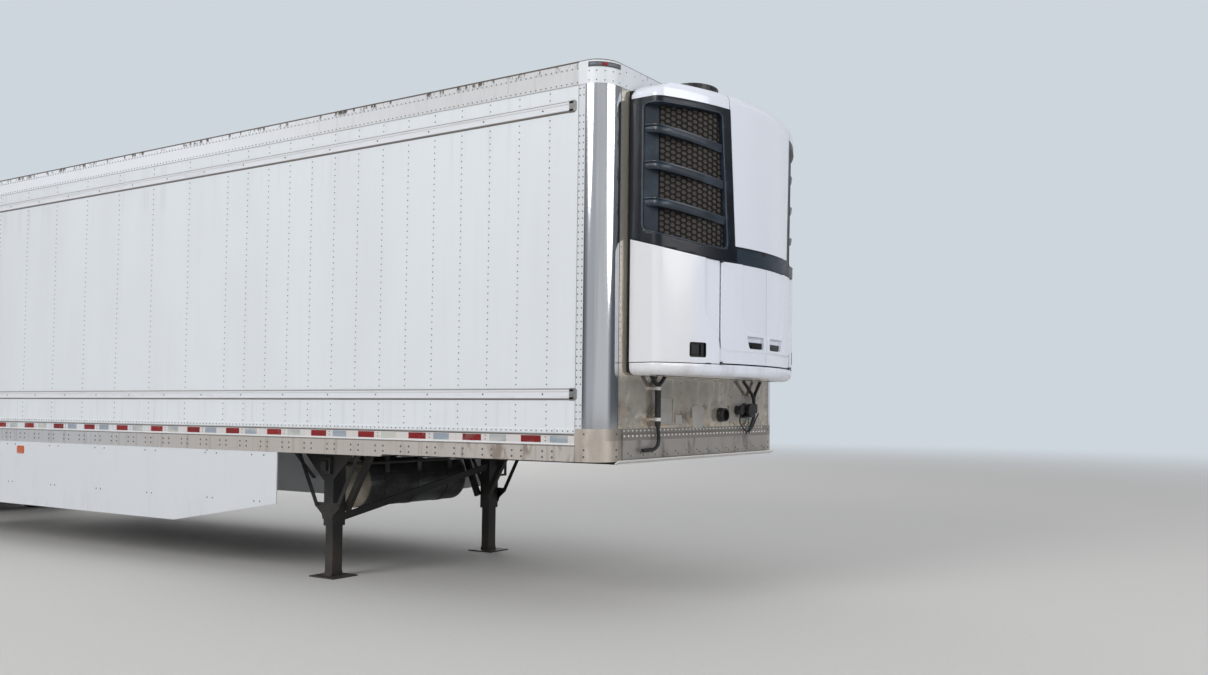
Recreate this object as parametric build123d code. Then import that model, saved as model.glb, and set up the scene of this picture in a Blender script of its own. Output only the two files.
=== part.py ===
# A 53 foot refrigerated van semi trailer, parked on its landing legs with the towing vehicle gone.
# Millimetres. +X runs forward, +Y to the road side (left), +Z up. The origin is on the ground, under the
# middle of the trailer's outer box.
import os
from math import cos, pi, sin, sqrt

from build123d import *

os.makedirs("parts", exist_ok=True)

# Box body
BODY_LENGTH = 16154
BODY_WIDTH = 2600
BODY_TOP = 4115
SKIN_INSET = 10
WALL_T = 64
FRONT_WALL_T = 102
ROOF_T = 76
ROOF_DROP = 9
CORNER_R = 180
CORNER_LEG = 70
FRAME_BOTTOM = 1130
CROSS_MEMBER_H = 100
FLOOR_TOP = 1390
FLOOR_GROOVE_DEPTH = 28
FLOOR_GROOVE_W = 38
FLOOR_GROOVE_PITCH = 76
FLOOR_MARGIN = 40
TOP_RAIL_BOTTOM = BODY_TOP - 186
TOP_RAIL_R = 30

# Bottom rail and nose sill
RAIL_PLATE_T = 12
RAIL_PLATE_INSET = 5
RAIL_LEDGE_TOP = 1282
RIB_BOTTOM = 1268
RIB_SLOPE = 3
RAIL_STEP = 18
RAIL_STEP_STATION = 2306
SILL_PROUD = 12
SILL_HALF = BODY_WIDTH / 2 - 241
CASTING_SEAM = 1
SILL_RAISE = 12
HEADER_PROUD = 5

# Rub rails on the sides: bottom edge, and how far behind the nose wall each ends
RUB_RAILS = ((FLOOR_TOP + 209, 260), (BODY_TOP - 381, 295))
RUB_RAIL_H = 88
RUB_RAIL_BEVEL = 8
RUB_RAIL_GROOVE = 4

# Underframe in front
COUPLER_LENGTH = 1400
COUPLER_HALF = BODY_WIDTH / 2 - 150
COUPLER_PLATE_T = 10
COUPLER_LIP_REACH = 50
COUPLER_LIP_RISE = 20
COUPLER_RIB_T = 12
COUPLER_RIBS = (70, 360, 660, 1168, 1388)
COUPLER_RUNNERS = (160, 560)
KINGPIN_SETBACK = 914
KINGPIN_FLANGE_R, KINGPIN_FLANGE_H, KINGPIN_HOLE_CLEAR = 90, 14, 0.5
KINGPIN_COLLAR_R, KINGPIN_COLLAR_H = 36.5, 35
KINGPIN_NECK_R, KINGPIN_NECK_H = 25.4, 32
KINGPIN_HEAD_R, KINGPIN_HEAD_H = 35.7, 17
CROSS_MEMBER_FIRST = 1500
CROSS_MEMBER_PITCH = 304.8
CROSS_MEMBER_FLANGE = 57
CROSS_MEMBER_WEB = 6

# Landing gear, its fuel tank neighbour and the side skirts
LEG_STATION = 3355
LEG_Y = BODY_WIDTH / 2 - 360
LEG_OUTER = 127
LEG_INNER = 100
LEG_STEP_Z = 461
SHOE_LENGTH, SHOE_WIDTH, SHOE_T = 330, 250, 12
SHOE_NECK_H = 60
LEG_BRACKET_LENGTH, LEG_BRACKET_T, LEG_BRACKET_Z, LEG_BRACKET_EDGE = 620, 10, 873, 30
GUSSET_Z, GUSSET_H, GUSSET_HALF = 520, 120, 108
BRACES = ((79, 322), (57, 382))
BRACE_W, BRACE_T, BRACE_LIFT = 60, 40, 72
CROSS_BRACE_Z, CROSS_BRACE_W = (503, 872), 66
SHAFT_Z, SHAFT_R = 1010, 16
CRANK_REACH, CRANK_DROP, CRANK_W, CRANK_GRIP, CRANK_GRIP_R = 170, 210, 20, 120, 12
TANK_STATION, TANK_Z, TANK_R = 3760, 800, 245
TANK_Y0, TANK_Y1, TANK_DOME = BODY_WIDTH / 2 - 1740, BODY_WIDTH / 2 - 540, 70
TANK_KNUCKLE_R, TANK_KNUCKLE_L = 162, 56
TANK_STRAP_Y = (TANK_Y0 + 210, (TANK_Y0 + TANK_Y1) / 2, TANK_Y1 - 210)
TANK_STRAP_W, TANK_STRAP_T = 50, 5
TANK_HANGER_INSET, TANK_HANGER_T = 15, 14
SKIRT_T, SKIRT_LAP = 8, 2
SKIRT_START, SKIRT_TANDEM_GAP = 3675, 2600
SKIRT_KINK, SKIRT_LOW, SKIRT_NOSE_LOW = 5234, 437, 670
STRUT_FIRST, STRUT_PITCH = 4300, 1219.2
STRUT_TOP_Y, STRUT_FOOT_Z, STRUT_W, STRUT_T = BODY_WIDTH / 2 - 420, 620, 60, 16

# Sliding tandem
TANDEM_STATION = BODY_LENGTH - 3054
AXLE_SPREAD = 1245
AXLE_Z = 508
SLIDE_RAIL_START, SLIDE_RAIL_END = TANDEM_STATION - 2400, BODY_LENGTH - 174
SLIDE_RAIL_Y, SLIDE_RAIL_W, SLIDE_RAIL_H, SLIDE_WALL = BODY_WIDTH / 2 - 780, 90, 105, 12
BOGIE_HALF_LENGTH = 1330
BOGIE_RAIL_H, BOGIE_RAIL_W = 130, 110
BOGIE_TUBE_R = 45
BOGIE_TUBES = (-1230, -300, 330, 1230)
HANGER_REACH, HANGER_Z, HANGER_LENGTH, HANGER_T = 500, 640, 190, 12
HANGER_EYE, HANGER_SIDE_GAP = 50, 8
ARM_W, ARM_H, ARM_TAIL, ARM_EYE = 76, 70, 400, 45
ARM_PAD, ARM_PAD_T = 90, 30
ARM_PIN_R, ARM_SEAT_GAP = 22, 6
AXLE_R = 63.5
AXLE_SEAT_HALF = 90
SPRING_R, SPRING_BEAD_R, SPRING_LIFT, SPRING_ROLL = 120, 70, 40, 72
SHOCK_R, SHOCK_ROD_R, SHOCK_GAP = 34, 14, 0.3
SHOCK_FOOT, SHOCK_HEAD, SHOCK_FOOT_LIFT, SHOCK_EYE, SHOCK_BODY_SHARE = 60, 140, 20, 20, 0.58
CHAMBER_R, CHAMBER_L, CHAMBER_Y, CHAMBER_X, CHAMBER_Z = 78, 150, SLIDE_RAIL_Y - 190, 185, 30
CHAMBER_STRAP_W, CHAMBER_STRAP_Z = 40, (-35, -10)
AIR_TANK_R, AIR_TANK_HALF, AIR_TANK_LEAD, AIR_TANK_Z = 120, 380, 2000, 960
AIR_TANK_STRAP_Y, AIR_TANK_STRAP_W = 200, 40
SPRING_SIDES, ROUND_SIDES = 16, 32

# Wheel ends
TRACK_Y = BODY_WIDTH / 2 - 315.5
DUAL_SPACING = 340
TYRE_R, TYRE_W, TYRE_TREAD_W, TYRE_WAIST_LIFT = 508, 283, 214, 20
TYRE_BEAD_R, TYRE_BEAD_W = 286, 214
TYRE_BEAD_GAP, TYRE_SIDES, WHEEL_SIDES = 1.2, 40, 24
RIM_FLANGE_R, RIM_FLANGE_T, RIM_WALL, RIM_LIP_GAP = 299, 8, 10, 4
DISC_R, DISC_T = 232, 22
HAND_HOLES, HAND_HOLE_R, HAND_HOLE_CIRCLE, HAND_HOLE_SIDES = 10, 28, 172, 6
HUB_R, HUB_CAP_R, HUB_REACH = 108, 76, 215
HUB_TAIL, HUB_STEP, HUB_CAP_L, HUB_CAP_T = 40, 50, 50, 30
SPINDLE_R, SPINDLE_CLEAR, SPINDLE_TIP_GAP = 45, 1, 45
DRUM_R, DRUM_WALL, DRUM_DEPTH = 225, 14, 200
BRAKE_PLATE_R, BRAKE_PLATE_T, BRAKE_PLATE_INSET, BEAM_INSET = 175, 14, 30, 20

# Rear end
REAR_DEPTH = 120
REAR_POST_W = 90
REAR_HEADER_Z = BODY_TOP - 190
DOOR_T = 100
DOOR_GAP = 7
DOOR_MEET = 4
DOOR_BEVEL = 12
HINGE_OFFSET = 40
HINGE_Y = BODY_WIDTH / 2 - 15
HINGE_HEIGHTS = (FLOOR_TOP + 170, FLOOR_TOP + 850, REAR_HEADER_Z - 1005, REAR_HEADER_Z - 225)
HINGE_EYE_R, HINGE_PIN_R, HINGE_PIN_CLEAR = 14, 7, 0.6
HINGE_LEAF_H, HINGE_EYE_H, HINGE_EYE_GAP = 60, 28, 3
HINGE_STRAP_T, HINGE_STRAP_L, HINGE_STRAP_BEND = 12, 260, 18
LOCK_ROD_Y = (330, BODY_WIDTH / 2 - 440)
LOCK_ROD_R, LOCK_ROD_OFF, LOCK_ROD_OVER = 13.5, 34, 42
LOCK_GUIDES = (FLOOR_TOP + 210, FLOOR_TOP + 910, REAR_HEADER_Z - 925, REAR_HEADER_Z - 285)
LOCK_GUIDE_W, LOCK_GUIDE_H, LOCK_GUIDE_T, LOCK_SADDLE_W, LOCK_SADDLE_T = 90, 70, 6, 48, 5
LOCK_CAM_W, LOCK_CAM_H, LOCK_CAM_GAP = 44, 36, 8
LOCK_HANDLE_Z, LOCK_HANDLE_L, LOCK_HANDLE_H, LOCK_HANDLE_T = FLOOR_TOP + 370, 252, 40, 24
KEEPER_GAP, KEEPER_REACH, KEEPER_W, KEEPER_T = 8, 54, 80, 14
DOCK_BUMPER_Y, DOCK_BUMPER_W, DOCK_BUMPER_H, DOCK_BUMPER_REACH = BODY_WIDTH / 2 - 250, 110, 230, 100
DOCK_BUMPER_DROP, DOCK_BUMPER_SLOPE = 14, 20
GUARD_Z, GUARD_H, GUARD_DEPTH, GUARD_HALF = 460, 100, 80, BODY_WIDTH / 2 - 80
GUARD_INSET, GUARD_POST_Y, GUARD_POST_W, GUARD_POST_FLARE = 10, 560, 100, 20
FLAP_BOTTOM, FLAP_W, FLAP_T = 190, 610, 8
FLAP_BAR_H, FLAP_BAR_T, FLAP_BAR_DROP = 50, 25, 20

# Lamps: reach, and the places of each kind
LAMP_T = 8
MARKER_STATION, MARKER_Z, MARKER_R, MARKER_PROUD_GAP = 8150, 1043, 32, 1
NOSE_LAMP_W, NOSE_LAMP_H, NOSE_LAMP_Z = 60, 24, BODY_TOP - 48
HEADER_LAMP_Y, HEADER_LAMP_W, HEADER_LAMP_H = (-150, 0, 150), 100, 40
TAIL_LAMP_Y, TAIL_LAMP_R, TAIL_LAMP_DROP = (560, 700), 55, 20

# Refrigeration unit on the nose
UNIT_GASKET = 35
UNIT_HALF = 1030
UNIT_REACH = 626
UNIT_FRONT_R = 1690
UNIT_CORNER_R = 90
UNIT_SHELL_T = 30
UNIT_TRAY_Z, UNIT_TRAY_R, UNIT_TRAY_H, UNIT_TRAY_INSET = 1790, 60, 90, 3
UNIT_TRAY_RIM = 80
UNIT_PANEL_GAP = 6
UNIT_TOP_Z, UNIT_SHOULDER_Z, UNIT_SHOULDER_Y = 3985, 3880, 780
UNIT_SHOULDER_MID = (965, 3950)
UNIT_TOP_R = 75
UNIT_CAP_BOTTOM = 3857
BAND_LOW, BAND_HIGH = 2675, 2800
BAND_KINK_X = 526
BAND_SLOPE = 0.264
CENTRE_PANEL_LOW_Y, CENTRE_PANEL_HIGH_Y = 411, 473
PANEL_SEAM = 3
WINDOW_STILE = 110
WINDOW_LOW_RISE = 98
WINDOW_TOP = 3806
WINDOW_MULLION = 86
LOUVRE_TOPS = (3655, 3381, 3107)
LOUVRE_H = 62
LOUVRE_DROPS, LOUVRE_STATIONS = (22, 92), (360, 556)
LOUVRE_INSET, LOUVRE_DEPTH = 8, 72
MESH_T, MESH_GAP, MESH_LAP = 6, 0.3, 30
COIL_T, COIL_GAP, COIL_LAP, COIL_RISE, COIL_DROP = 60, 20, 60, 60, 20
UNIT_DOOR_HALF = 547
UNIT_DOOR_SIDE_GAP = 10
UNIT_DOOR_MEET = 3
UNIT_HINGE_OFF, UNIT_HINGE_Y = 9, 550
UNIT_HINGE_R, UNIT_HINGE_PIN_R, UNIT_HINGE_CLEAR = 9, 4, 0.4
UNIT_HINGE_LUG_H, UNIT_LUG_ROOT = 8, 5
UNIT_DOOR_LUG_Y, UNIT_DOOR_LUG_ROOT = (28, 3), 8
UNIT_TRAY_LUG_H, UNIT_TRAY_LUG_ROOT = 12, 30
UNIT_PLATE_INSET, UNIT_PLATE_RISE, UNIT_PLATE_TOP_GAP = 18, 20, 4
UNIT_DECK_Z = (1886, 2704)
UNIT_DECK_T = 12
UNIT_DECK_INSET = 34
UNIT_POST_W, UNIT_POST_SIDE, UNIT_POST_GAP = 60, 10, 12
ENGINE_LENGTH, ENGINE_WIDTH, ENGINE_HEIGHT, ENGINE_STATION = 300, 820, 560, 270
FAN_Y, FAN_STATION, FAN_R, FAN_RING_H, FAN_RING_T = 500, 245, 170, 62, 12
FAN_BLADES, FAN_HUB_R, FAN_HUB_Z, FAN_HUB_H, FAN_CLEAR = 8, 48, 20, 60, 0.3
FAN_BLADE_W, FAN_BLADE_T, FAN_BLADE_LAP, FAN_BLADE_TWIST = 60, 5, 12, 35
EVAPORATOR_HALF, EVAPORATOR_H, EVAPORATOR_DEPTH = 850, 599, 260
EVAPORATOR_SLOPE_X, EVAPORATOR_SLOPE_Z = 156, 190

# Nose furniture: hose routes as (y, z) points, and what is fixed to the nose wall as y and z ranges
HOSE_STANDOFF, HOSE_SIDES = 42, 8
HOSE_R, HOSE_TAIL_R = 19, 14
HOSE_TOP_GAP, HOSE_TRIM_RISE = 0.3, 20
DRAIN_TEE, DRAIN_SPREAD = (-673, 1712), 87
DRAIN_RISE = 18
DRAIN_ROUTE = (DRAIN_TEE, (-673, 1405), (-655, 1300), (-730, 1229), (-860, 1223))
DRAIN_BENDS = (60, 45, 45)
LINE_TEE, LINE_HEADS = (785, 1655), (600, 900)
LINE_ROUTE = (LINE_TEE, (797, 1500), (740, 1390), (700, 1335))
LINE_BENDS = (90, 60)
HOLDER_Y, HOLDER_Z, HOLDER_T, HOLDER_BACK_T, HOLDER_WALL = (-600, -420), (1420, 1620), 14, 6, 12
PORT_PLACE, PORT_R, PORT_WALL, PORT_L, PORT_BASE = (290, 1490), 62, 16, 60, 20
SOCKET_PLATE_Y, SOCKET_PLATE_Z, SOCKET_PLATE_T = (446, 951), (1430, 1658), 6
SOCKETS = (((547, 1530), 42, 64), ((677, 1528), 66, 89))
CLIP_HEIGHTS, CLIP_H, CLIP_W = (1690, 1450), 14, 50

NOSE_X = (BODY_LENGTH + DOCK_BUMPER_REACH - UNIT_REACH) / 2
REAR_X = NOSE_X - BODY_LENGTH
HALF = BODY_WIDTH / 2
SKIN_Y = HALF - SKIN_INSET
INSIDE_Y = SKIN_Y - WALL_T
CROSS_TOP = FRAME_BOTTOM + CROSS_MEMBER_H
CORNER_STATION = CORNER_R + CORNER_LEG
ROOF_TOP = BODY_TOP - ROOF_DROP
PLATE_Y = HALF - RAIL_PLATE_INSET


def aft(distance):
    """X of a station that lies this far behind the nose wall."""
    return NOSE_X - distance


def block(x0, x1, y0, y1, z0, z1):
    """A rectangular solid between two corners."""
    size = Box(abs(x1 - x0), abs(y1 - y0), abs(z1 - z0))
    return Pos((x0 + x1) / 2, (y0 + y1) / 2, (z0 + z1) / 2) * size


def along_x(outline, x0, x1):
    """A solid whose (y, z) outline runs from x0 to x1."""
    face = make_face(Polyline(*[(x0, y, z) for y, z in outline], close=True))
    return extrude(face, x1 - x0, dir=(1, 0, 0))


def along_y(outline, y0, y1):
    """A solid whose (x, z) outline runs from y0 to y1."""
    face = make_face(Polyline(*[(x, y0, z) for x, z in outline], close=True))
    return extrude(face, y1 - y0, dir=(0, 1, 0))


def along_z(outline, z0, z1):
    """A solid whose (x, y) outline runs from z0 to z1."""
    face = make_face(Polyline(*[(x, y, z0) for x, y in outline], close=True))
    return extrude(face, z1 - z0, dir=(0, 0, 1))


def rod(start, end, radius, sides=12):
    """A bar between two points, round to within its flats, with its corners at the radius."""
    axis = Vector(end) - Vector(start)
    return extrude(Plane(origin=start, z_dir=axis) * RegularPolygon(radius, sides), axis.length)


def bore(start, end, radius, sides=12):
    """A hole between two points, with its flats at the radius."""
    axis = Vector(end) - Vector(start)
    outline = RegularPolygon(radius, sides, major_radius=False)
    return extrude(Plane(origin=start, z_dir=axis) * outline, axis.length)


def turned(outline, sides):
    """A ring or disc about Z from a closed (radius, z) outline, with flat facets and a flat at the foot."""
    angles = [2 * pi * (i + 0.5) / sides for i in range(sides)]
    faces = []
    for a0, a1 in zip(angles, angles[1:] + angles[:1]):
        for (r0, z0), (r1, z1) in zip(outline, outline[1:] + outline[:1]):
            corners = [(r0, z0, a0), (r1, z1, a0), (r1, z1, a1), (r0, z0, a1)]
            points = [(r * cos(a), r * sin(a), z) for r, z, a in corners]
            distinct = [p for i, p in enumerate(points) if p not in points[:i]]
            if len(distinct) > 2:
                faces.append(Face(Wire.make_polygon(distinct)))
    return Solid(Shell(faces))


def turned_y(outline, sides):
    """The same about Y, from a closed (radius, y) outline."""
    return Rot(-90, 0, 0) * turned(outline, sides)


def bar(start, end, width, depth, across=(0, 1, 0)):
    """A flat-sided bar between two points, its width measured along the given direction."""
    axis = Vector(end) - Vector(start)
    return extrude(Plane(origin=start, x_dir=across, z_dir=axis) * Rectangle(width, depth), axis.length)


def hose(points, radii, radius):
    """A hose along straight runs joined by arcs, round to within its flats."""
    path = FilletPolyline(*points, radius=radii)
    start = Plane(origin=path @ 0, z_dir=path % 0)
    return sweep(start * RegularPolygon(radius, HOSE_SIDES), path=path)


def mirrored(*solids):
    """The same solids on the other side of the centre plane."""
    return [mirror(solid, about=Plane.XZ) for solid in solids]


def both_sides(*solids):
    """The solids and their mirror images."""
    return list(solids) + mirrored(*solids)


def save(name, *shapes):
    """Write one node, made of the given shapes."""
    solids = [solid for shape in shapes for solid in shape.solids()]
    export_step(solids[0] if len(solids) == 1 else Compound(solids), f"parts/{name}.step")


def body_plan(inset, x_rear, z0, z1):
    """The body seen from above with its two rounded nose corners, drawn up from z0 to z1."""
    x_nose, half = NOSE_X - inset, SKIN_Y - inset
    outline = Polyline((x_rear, -half), (x_nose, -half), (x_nose, half), (x_rear, half), close=True)
    corners = make_face(outline).vertices().sort_by(Axis.X)[-2:]
    return Pos(0, 0, z0) * extrude(fillet(corners, CORNER_R - inset), z1 - z0, dir=(0, 0, 1))


# Box body


def floor():
    """Foam-filled floor slab, its top face grooved lengthways for air."""
    x0 = REAR_X + REAR_DEPTH
    slab = body_plan(WALL_T, x0, CROSS_TOP, FLOOR_TOP)
    reach = INSIDE_Y - FLOOR_MARGIN
    count = int(2 * reach // FLOOR_GROOVE_PITCH)
    first = -(count - 1) / 2 * FLOOR_GROOVE_PITCH
    z0 = FLOOR_TOP - FLOOR_GROOVE_DEPTH
    grooves = [
        block(x0, aft(FRONT_WALL_T), y - FLOOR_GROOVE_W / 2, y + FLOOR_GROOVE_W / 2, z0, FLOOR_TOP)
        for y in [first + i * FLOOR_GROOVE_PITCH for i in range(count)]
    ]
    save("floor", slab - grooves)


def side_walls():
    """Insulated side walls between the bottom and top rails."""
    x0, x1 = REAR_X + REAR_DEPTH, aft(CORNER_STATION)
    left = block(x0, x1, INSIDE_Y, SKIN_Y, RAIL_LEDGE_TOP, TOP_RAIL_BOTTOM)
    save("side_wall_left", left)
    save("side_wall_right", *mirrored(left))


def roof():
    """Insulated roof panel, let in between the top rails and the nose header."""
    save("roof", body_plan(WALL_T, REAR_X + REAR_DEPTH, ROOF_TOP - ROOF_T, ROOF_TOP))


def front_wall():
    """Flat insulated nose wall between the corner posts."""
    y = SKIN_Y - CORNER_R
    save("front_wall", block(aft(FRONT_WALL_T), NOSE_X, -y, y, FLOOR_TOP, TOP_RAIL_BOTTOM))


def nose_shell(outset, z0, z1):
    """The nose of the body as a bent wall, from one side round to the other."""
    outer = body_plan(-outset, aft(CORNER_STATION), z0, z1)
    return outer - body_plan(WALL_T, aft(CORNER_STATION + 10), z0, z1)


def nose_corners():
    """Polished quarter-round corner posts with a short flat leg on the side."""
    shell = nose_shell(0, FLOOR_TOP, TOP_RAIL_BOTTOM)
    y = SKIN_Y - CORNER_R
    keep = block(aft(CORNER_STATION), NOSE_X, y, SKIN_Y, FLOOR_TOP, TOP_RAIL_BOTTOM)
    save("nose_corners", *both_sides(shell & keep))


def nose_header():
    """Riveted header across the top of the nose, with the corner caps, its top edge rounded."""
    shell = nose_shell(HEADER_PROUD, TOP_RAIL_BOTTOM, BODY_TOP)
    edges = shell.edges().filter_by(lambda e: abs(e.center().Z - BODY_TOP) < 0.1)
    outer = [e for e in edges if e.center().X > aft(CORNER_STATION) + 1 and outside_header(e)]
    save("nose_header", fillet(outer, TOP_RAIL_R))


def outside_header(edge):
    """True for an edge on the outer face of the header."""
    point = edge @ 0.5
    inner = body_plan(0.5, aft(CORNER_STATION + 10), BODY_TOP - 1, BODY_TOP + 1)
    return not inner.solids()[0].is_inside(point)


def nose_sill():
    """Sill across the foot of the nose wall and the castings that wrap its corners."""
    casting_shell = nose_shell(0, FRAME_BOTTOM + RAIL_STEP, FLOOR_TOP)
    y0 = SILL_HALF + CASTING_SEAM
    x0 = aft(CORNER_STATION)
    casting = casting_shell & block(x0, NOSE_X, y0, HALF, FRAME_BOTTOM, FLOOR_TOP)
    z0 = FRAME_BOTTOM + RAIL_STEP + SILL_RAISE
    flange_z = FLOOR_TOP - 44
    sill = along_y(
        (
            (aft(WALL_T), z0),
            (NOSE_X + SILL_PROUD, z0),
            (NOSE_X + SILL_PROUD, flange_z),
            (NOSE_X + SILL_PROUD / 4, flange_z + SILL_PROUD),
            (NOSE_X + SILL_PROUD / 4, FLOOR_TOP),
            (aft(WALL_T), FLOOR_TOP),
        ),
        -SILL_HALF,
        SILL_HALF,
    )
    save("nose_sill", sill, *both_sides(casting))


def bottom_rails():
    """Extruded rails that carry the side walls and the ends of the cross members."""
    x0, x1 = REAR_X + REAR_DEPTH, aft(CORNER_STATION)
    inner_plate = PLATE_Y - RAIL_PLATE_T
    outline = (
        (PLATE_Y, FRAME_BOTTOM),
        (PLATE_Y, RIB_BOTTOM),
        (HALF, RIB_BOTTOM + RIB_SLOPE),
        (HALF, RAIL_LEDGE_TOP - RIB_SLOPE),
        (PLATE_Y, RAIL_LEDGE_TOP),
        (PLATE_Y, FLOOR_TOP - SKIN_INSET / 2),
        (SKIN_Y, FLOOR_TOP),
        (SKIN_Y, RAIL_LEDGE_TOP),
        (INSIDE_Y, RAIL_LEDGE_TOP),
        (INSIDE_Y, CROSS_TOP),
        (inner_plate, CROSS_TOP),
        (inner_plate, FRAME_BOTTOM),
    )
    step = along_y(
        (
            (x1 + 1, FRAME_BOTTOM - 1),
            (x1 + 1, FRAME_BOTTOM + RAIL_STEP),
            (aft(RAIL_STEP_STATION), FRAME_BOTTOM + RAIL_STEP),
            (aft(RAIL_STEP_STATION) - RAIL_STEP - 1, FRAME_BOTTOM - 1),
        ),
        inner_plate - 1,
        HALF,
    )
    save("bottom_rails", *both_sides(along_x(outline, x0, x1) - step))


def top_rails():
    """Extruded rails along the roof edges, rounded outside, with a drip step."""
    x0, x1 = REAR_X + REAR_DEPTH, aft(CORNER_STATION)
    rail = block(x0, x1, INSIDE_Y, PLATE_Y, TOP_RAIL_BOTTOM, BODY_TOP)
    edge = rail.edges().filter_by(Axis.X).sort_by(lambda e: e.center().Y + e.center().Z)[-1]
    save("top_rails", *both_sides(fillet(edge, TOP_RAIL_R)))


def rub_rails():
    """Two rub rails along each side, grooved between their beads."""
    rails = []
    for z0, end in RUB_RAILS:
        z1, mid = z0 + RUB_RAIL_H, z0 + RUB_RAIL_H / 2
        bead = RUB_RAIL_H / 4
        low_y = HALF - RUB_RAIL_GROOVE
        outline = (
            (SKIN_Y, z0),
            (HALF, z0 + RUB_RAIL_BEVEL),
            (HALF, mid - bead),
            (low_y, mid - bead + RUB_RAIL_GROOVE),
            (low_y, mid + bead - RUB_RAIL_GROOVE),
            (HALF, mid + bead),
            (HALF, z1 - RUB_RAIL_BEVEL),
            (SKIN_Y, z1),
        )
        rails += both_sides(along_x(outline, REAR_X + REAR_DEPTH, aft(end)))
    save("rub_rails", *rails)


# Underframe


def coupler_plate():
    """Upper coupler: a full-width plate with a turned-up lip, stiffened by ribs up to the floor."""
    z0, z1 = FRAME_BOTTOM, FRAME_BOTTOM + COUPLER_PLATE_T
    rise = COUPLER_LIP_RISE
    rib_half = SKIN_Y - CORNER_R
    plate = along_y(
        (
            (aft(COUPLER_LENGTH), z0),
            (NOSE_X + SILL_PROUD, z0),
            (NOSE_X + COUPLER_LIP_REACH, z0 + rise),
            (NOSE_X + COUPLER_LIP_REACH - COUPLER_PLATE_T / 2, z1 + rise),
            (NOSE_X + SILL_PROUD, z1),
            (aft(COUPLER_LENGTH), z1),
        ),
        -COUPLER_HALF,
        COUPLER_HALF,
    )
    ribs = [
        block(aft(s + COUPLER_RIB_T), aft(s), -rib_half, rib_half, z1, CROSS_TOP)
        for s in COUPLER_RIBS
    ]
    runners = [
        block(aft(COUPLER_RIBS[-1]), aft(COUPLER_RIBS[0]), y, y + COUPLER_RIB_T, z1, CROSS_TOP)
        for y in (*COUPLER_RUNNERS, rib_half - COUPLER_RIB_T)
    ]
    x = aft(KINGPIN_SETBACK)
    hole = bore((x, 0, z0 - 1), (x, 0, z1 + 1), KINGPIN_COLLAR_R + KINGPIN_HOLE_CLEAR, ROUND_SIDES)
    save("coupler_plate", plate + ribs + both_sides(*runners) - hole)


def kingpin():
    """Pin that the fifth wheel's jaws close on, hung through the coupler plate by its flange."""
    z = FRAME_BOTTOM + COUPLER_PLATE_T + KINGPIN_FLANGE_H
    outline = [(0, z)]
    for radius, height in (
        (KINGPIN_FLANGE_R, KINGPIN_FLANGE_H),
        (KINGPIN_COLLAR_R, KINGPIN_COLLAR_H + COUPLER_PLATE_T),
        (KINGPIN_NECK_R, KINGPIN_NECK_H),
        (KINGPIN_HEAD_R, KINGPIN_HEAD_H),
    ):
        outline += [(radius, z), (radius, z - height)]
        z -= height
    outline.append((0, z))
    face = make_face(Polyline(*[(x, 0, z) for x, z in outline], close=True))
    save("kingpin", Pos(aft(KINGPIN_SETBACK), 0, 0) * revolve(face, Axis.Z))


def cross_members():
    """I-section beams under the floor, from the upper coupler to the rear frame."""
    f, w = CROSS_MEMBER_FLANGE / 2, CROSS_MEMBER_WEB / 2
    z0, z1, t = FRAME_BOTTOM, CROSS_TOP, CROSS_MEMBER_WEB
    half = PLATE_Y - RAIL_PLATE_T
    count = int((BODY_LENGTH - REAR_DEPTH - CROSS_MEMBER_FIRST - f) // CROSS_MEMBER_PITCH) + 1
    beams = []
    for i in range(count):
        x = aft(CROSS_MEMBER_FIRST + i * CROSS_MEMBER_PITCH)
        outline = (
            (x - f, z0), (x + f, z0), (x + f, z0 + t), (x + w, z0 + t), (x + w, z1 - t), (x + f, z1 - t),
            (x + f, z1), (x - f, z1), (x - f, z1 - t), (x - w, z1 - t), (x - w, z0 + t), (x - f, z0 + t),
        )
        beams.append(along_y(outline, -half, half))
    save("cross_members", *beams)


# Landing gear, tank and skirts


def landing_legs():
    """Telescopic legs, each an outer and an inner square tube on a flat shoe, with its bracket and gusset."""
    x, y = aft(LEG_STATION), LEG_Y
    o, i = LEG_OUTER / 2, LEG_INNER / 2
    outer = block(x - o, x + o, y - o, y + o, LEG_STEP_Z, FRAME_BOTTOM)
    inner = block(x - i, x + i, y - i, y + i, SHOE_NECK_H, LEG_STEP_Z)
    foot = SHOE_WIDTH / 2
    neck = along_x(
        ((y - foot / 2, SHOE_T), (y + foot / 2, SHOE_T), (y + i, SHOE_NECK_H), (y - i, SHOE_NECK_H)),
        x - i,
        x + i,
    )
    shoe = block(x - SHOE_LENGTH / 2, x + SHOE_LENGTH / 2, y - foot, y + foot, 0, SHOE_T)
    wing = LEG_BRACKET_LENGTH / 2
    bracket = along_y(
        (
            (x - o, LEG_BRACKET_Z), (x + o, LEG_BRACKET_Z), (x + wing, FRAME_BOTTOM - LEG_BRACKET_EDGE),
            (x + wing, FRAME_BOTTOM), (x - wing, FRAME_BOTTOM), (x - wing, FRAME_BOTTOM - LEG_BRACKET_EDGE),
        ),
        y + o,
        y + o + LEG_BRACKET_T,
    )
    z = GUSSET_Z
    gusset = along_y(
        ((x - o, z), (x + o, z), (x + GUSSET_HALF, z + GUSSET_H), (x - GUSSET_HALF, z + GUSSET_H)),
        y + o,
        y + o + LEG_BRACKET_T,
    )
    save("landing_legs", *both_sides(outer + inner + neck + shoe + bracket + gusset))


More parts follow.
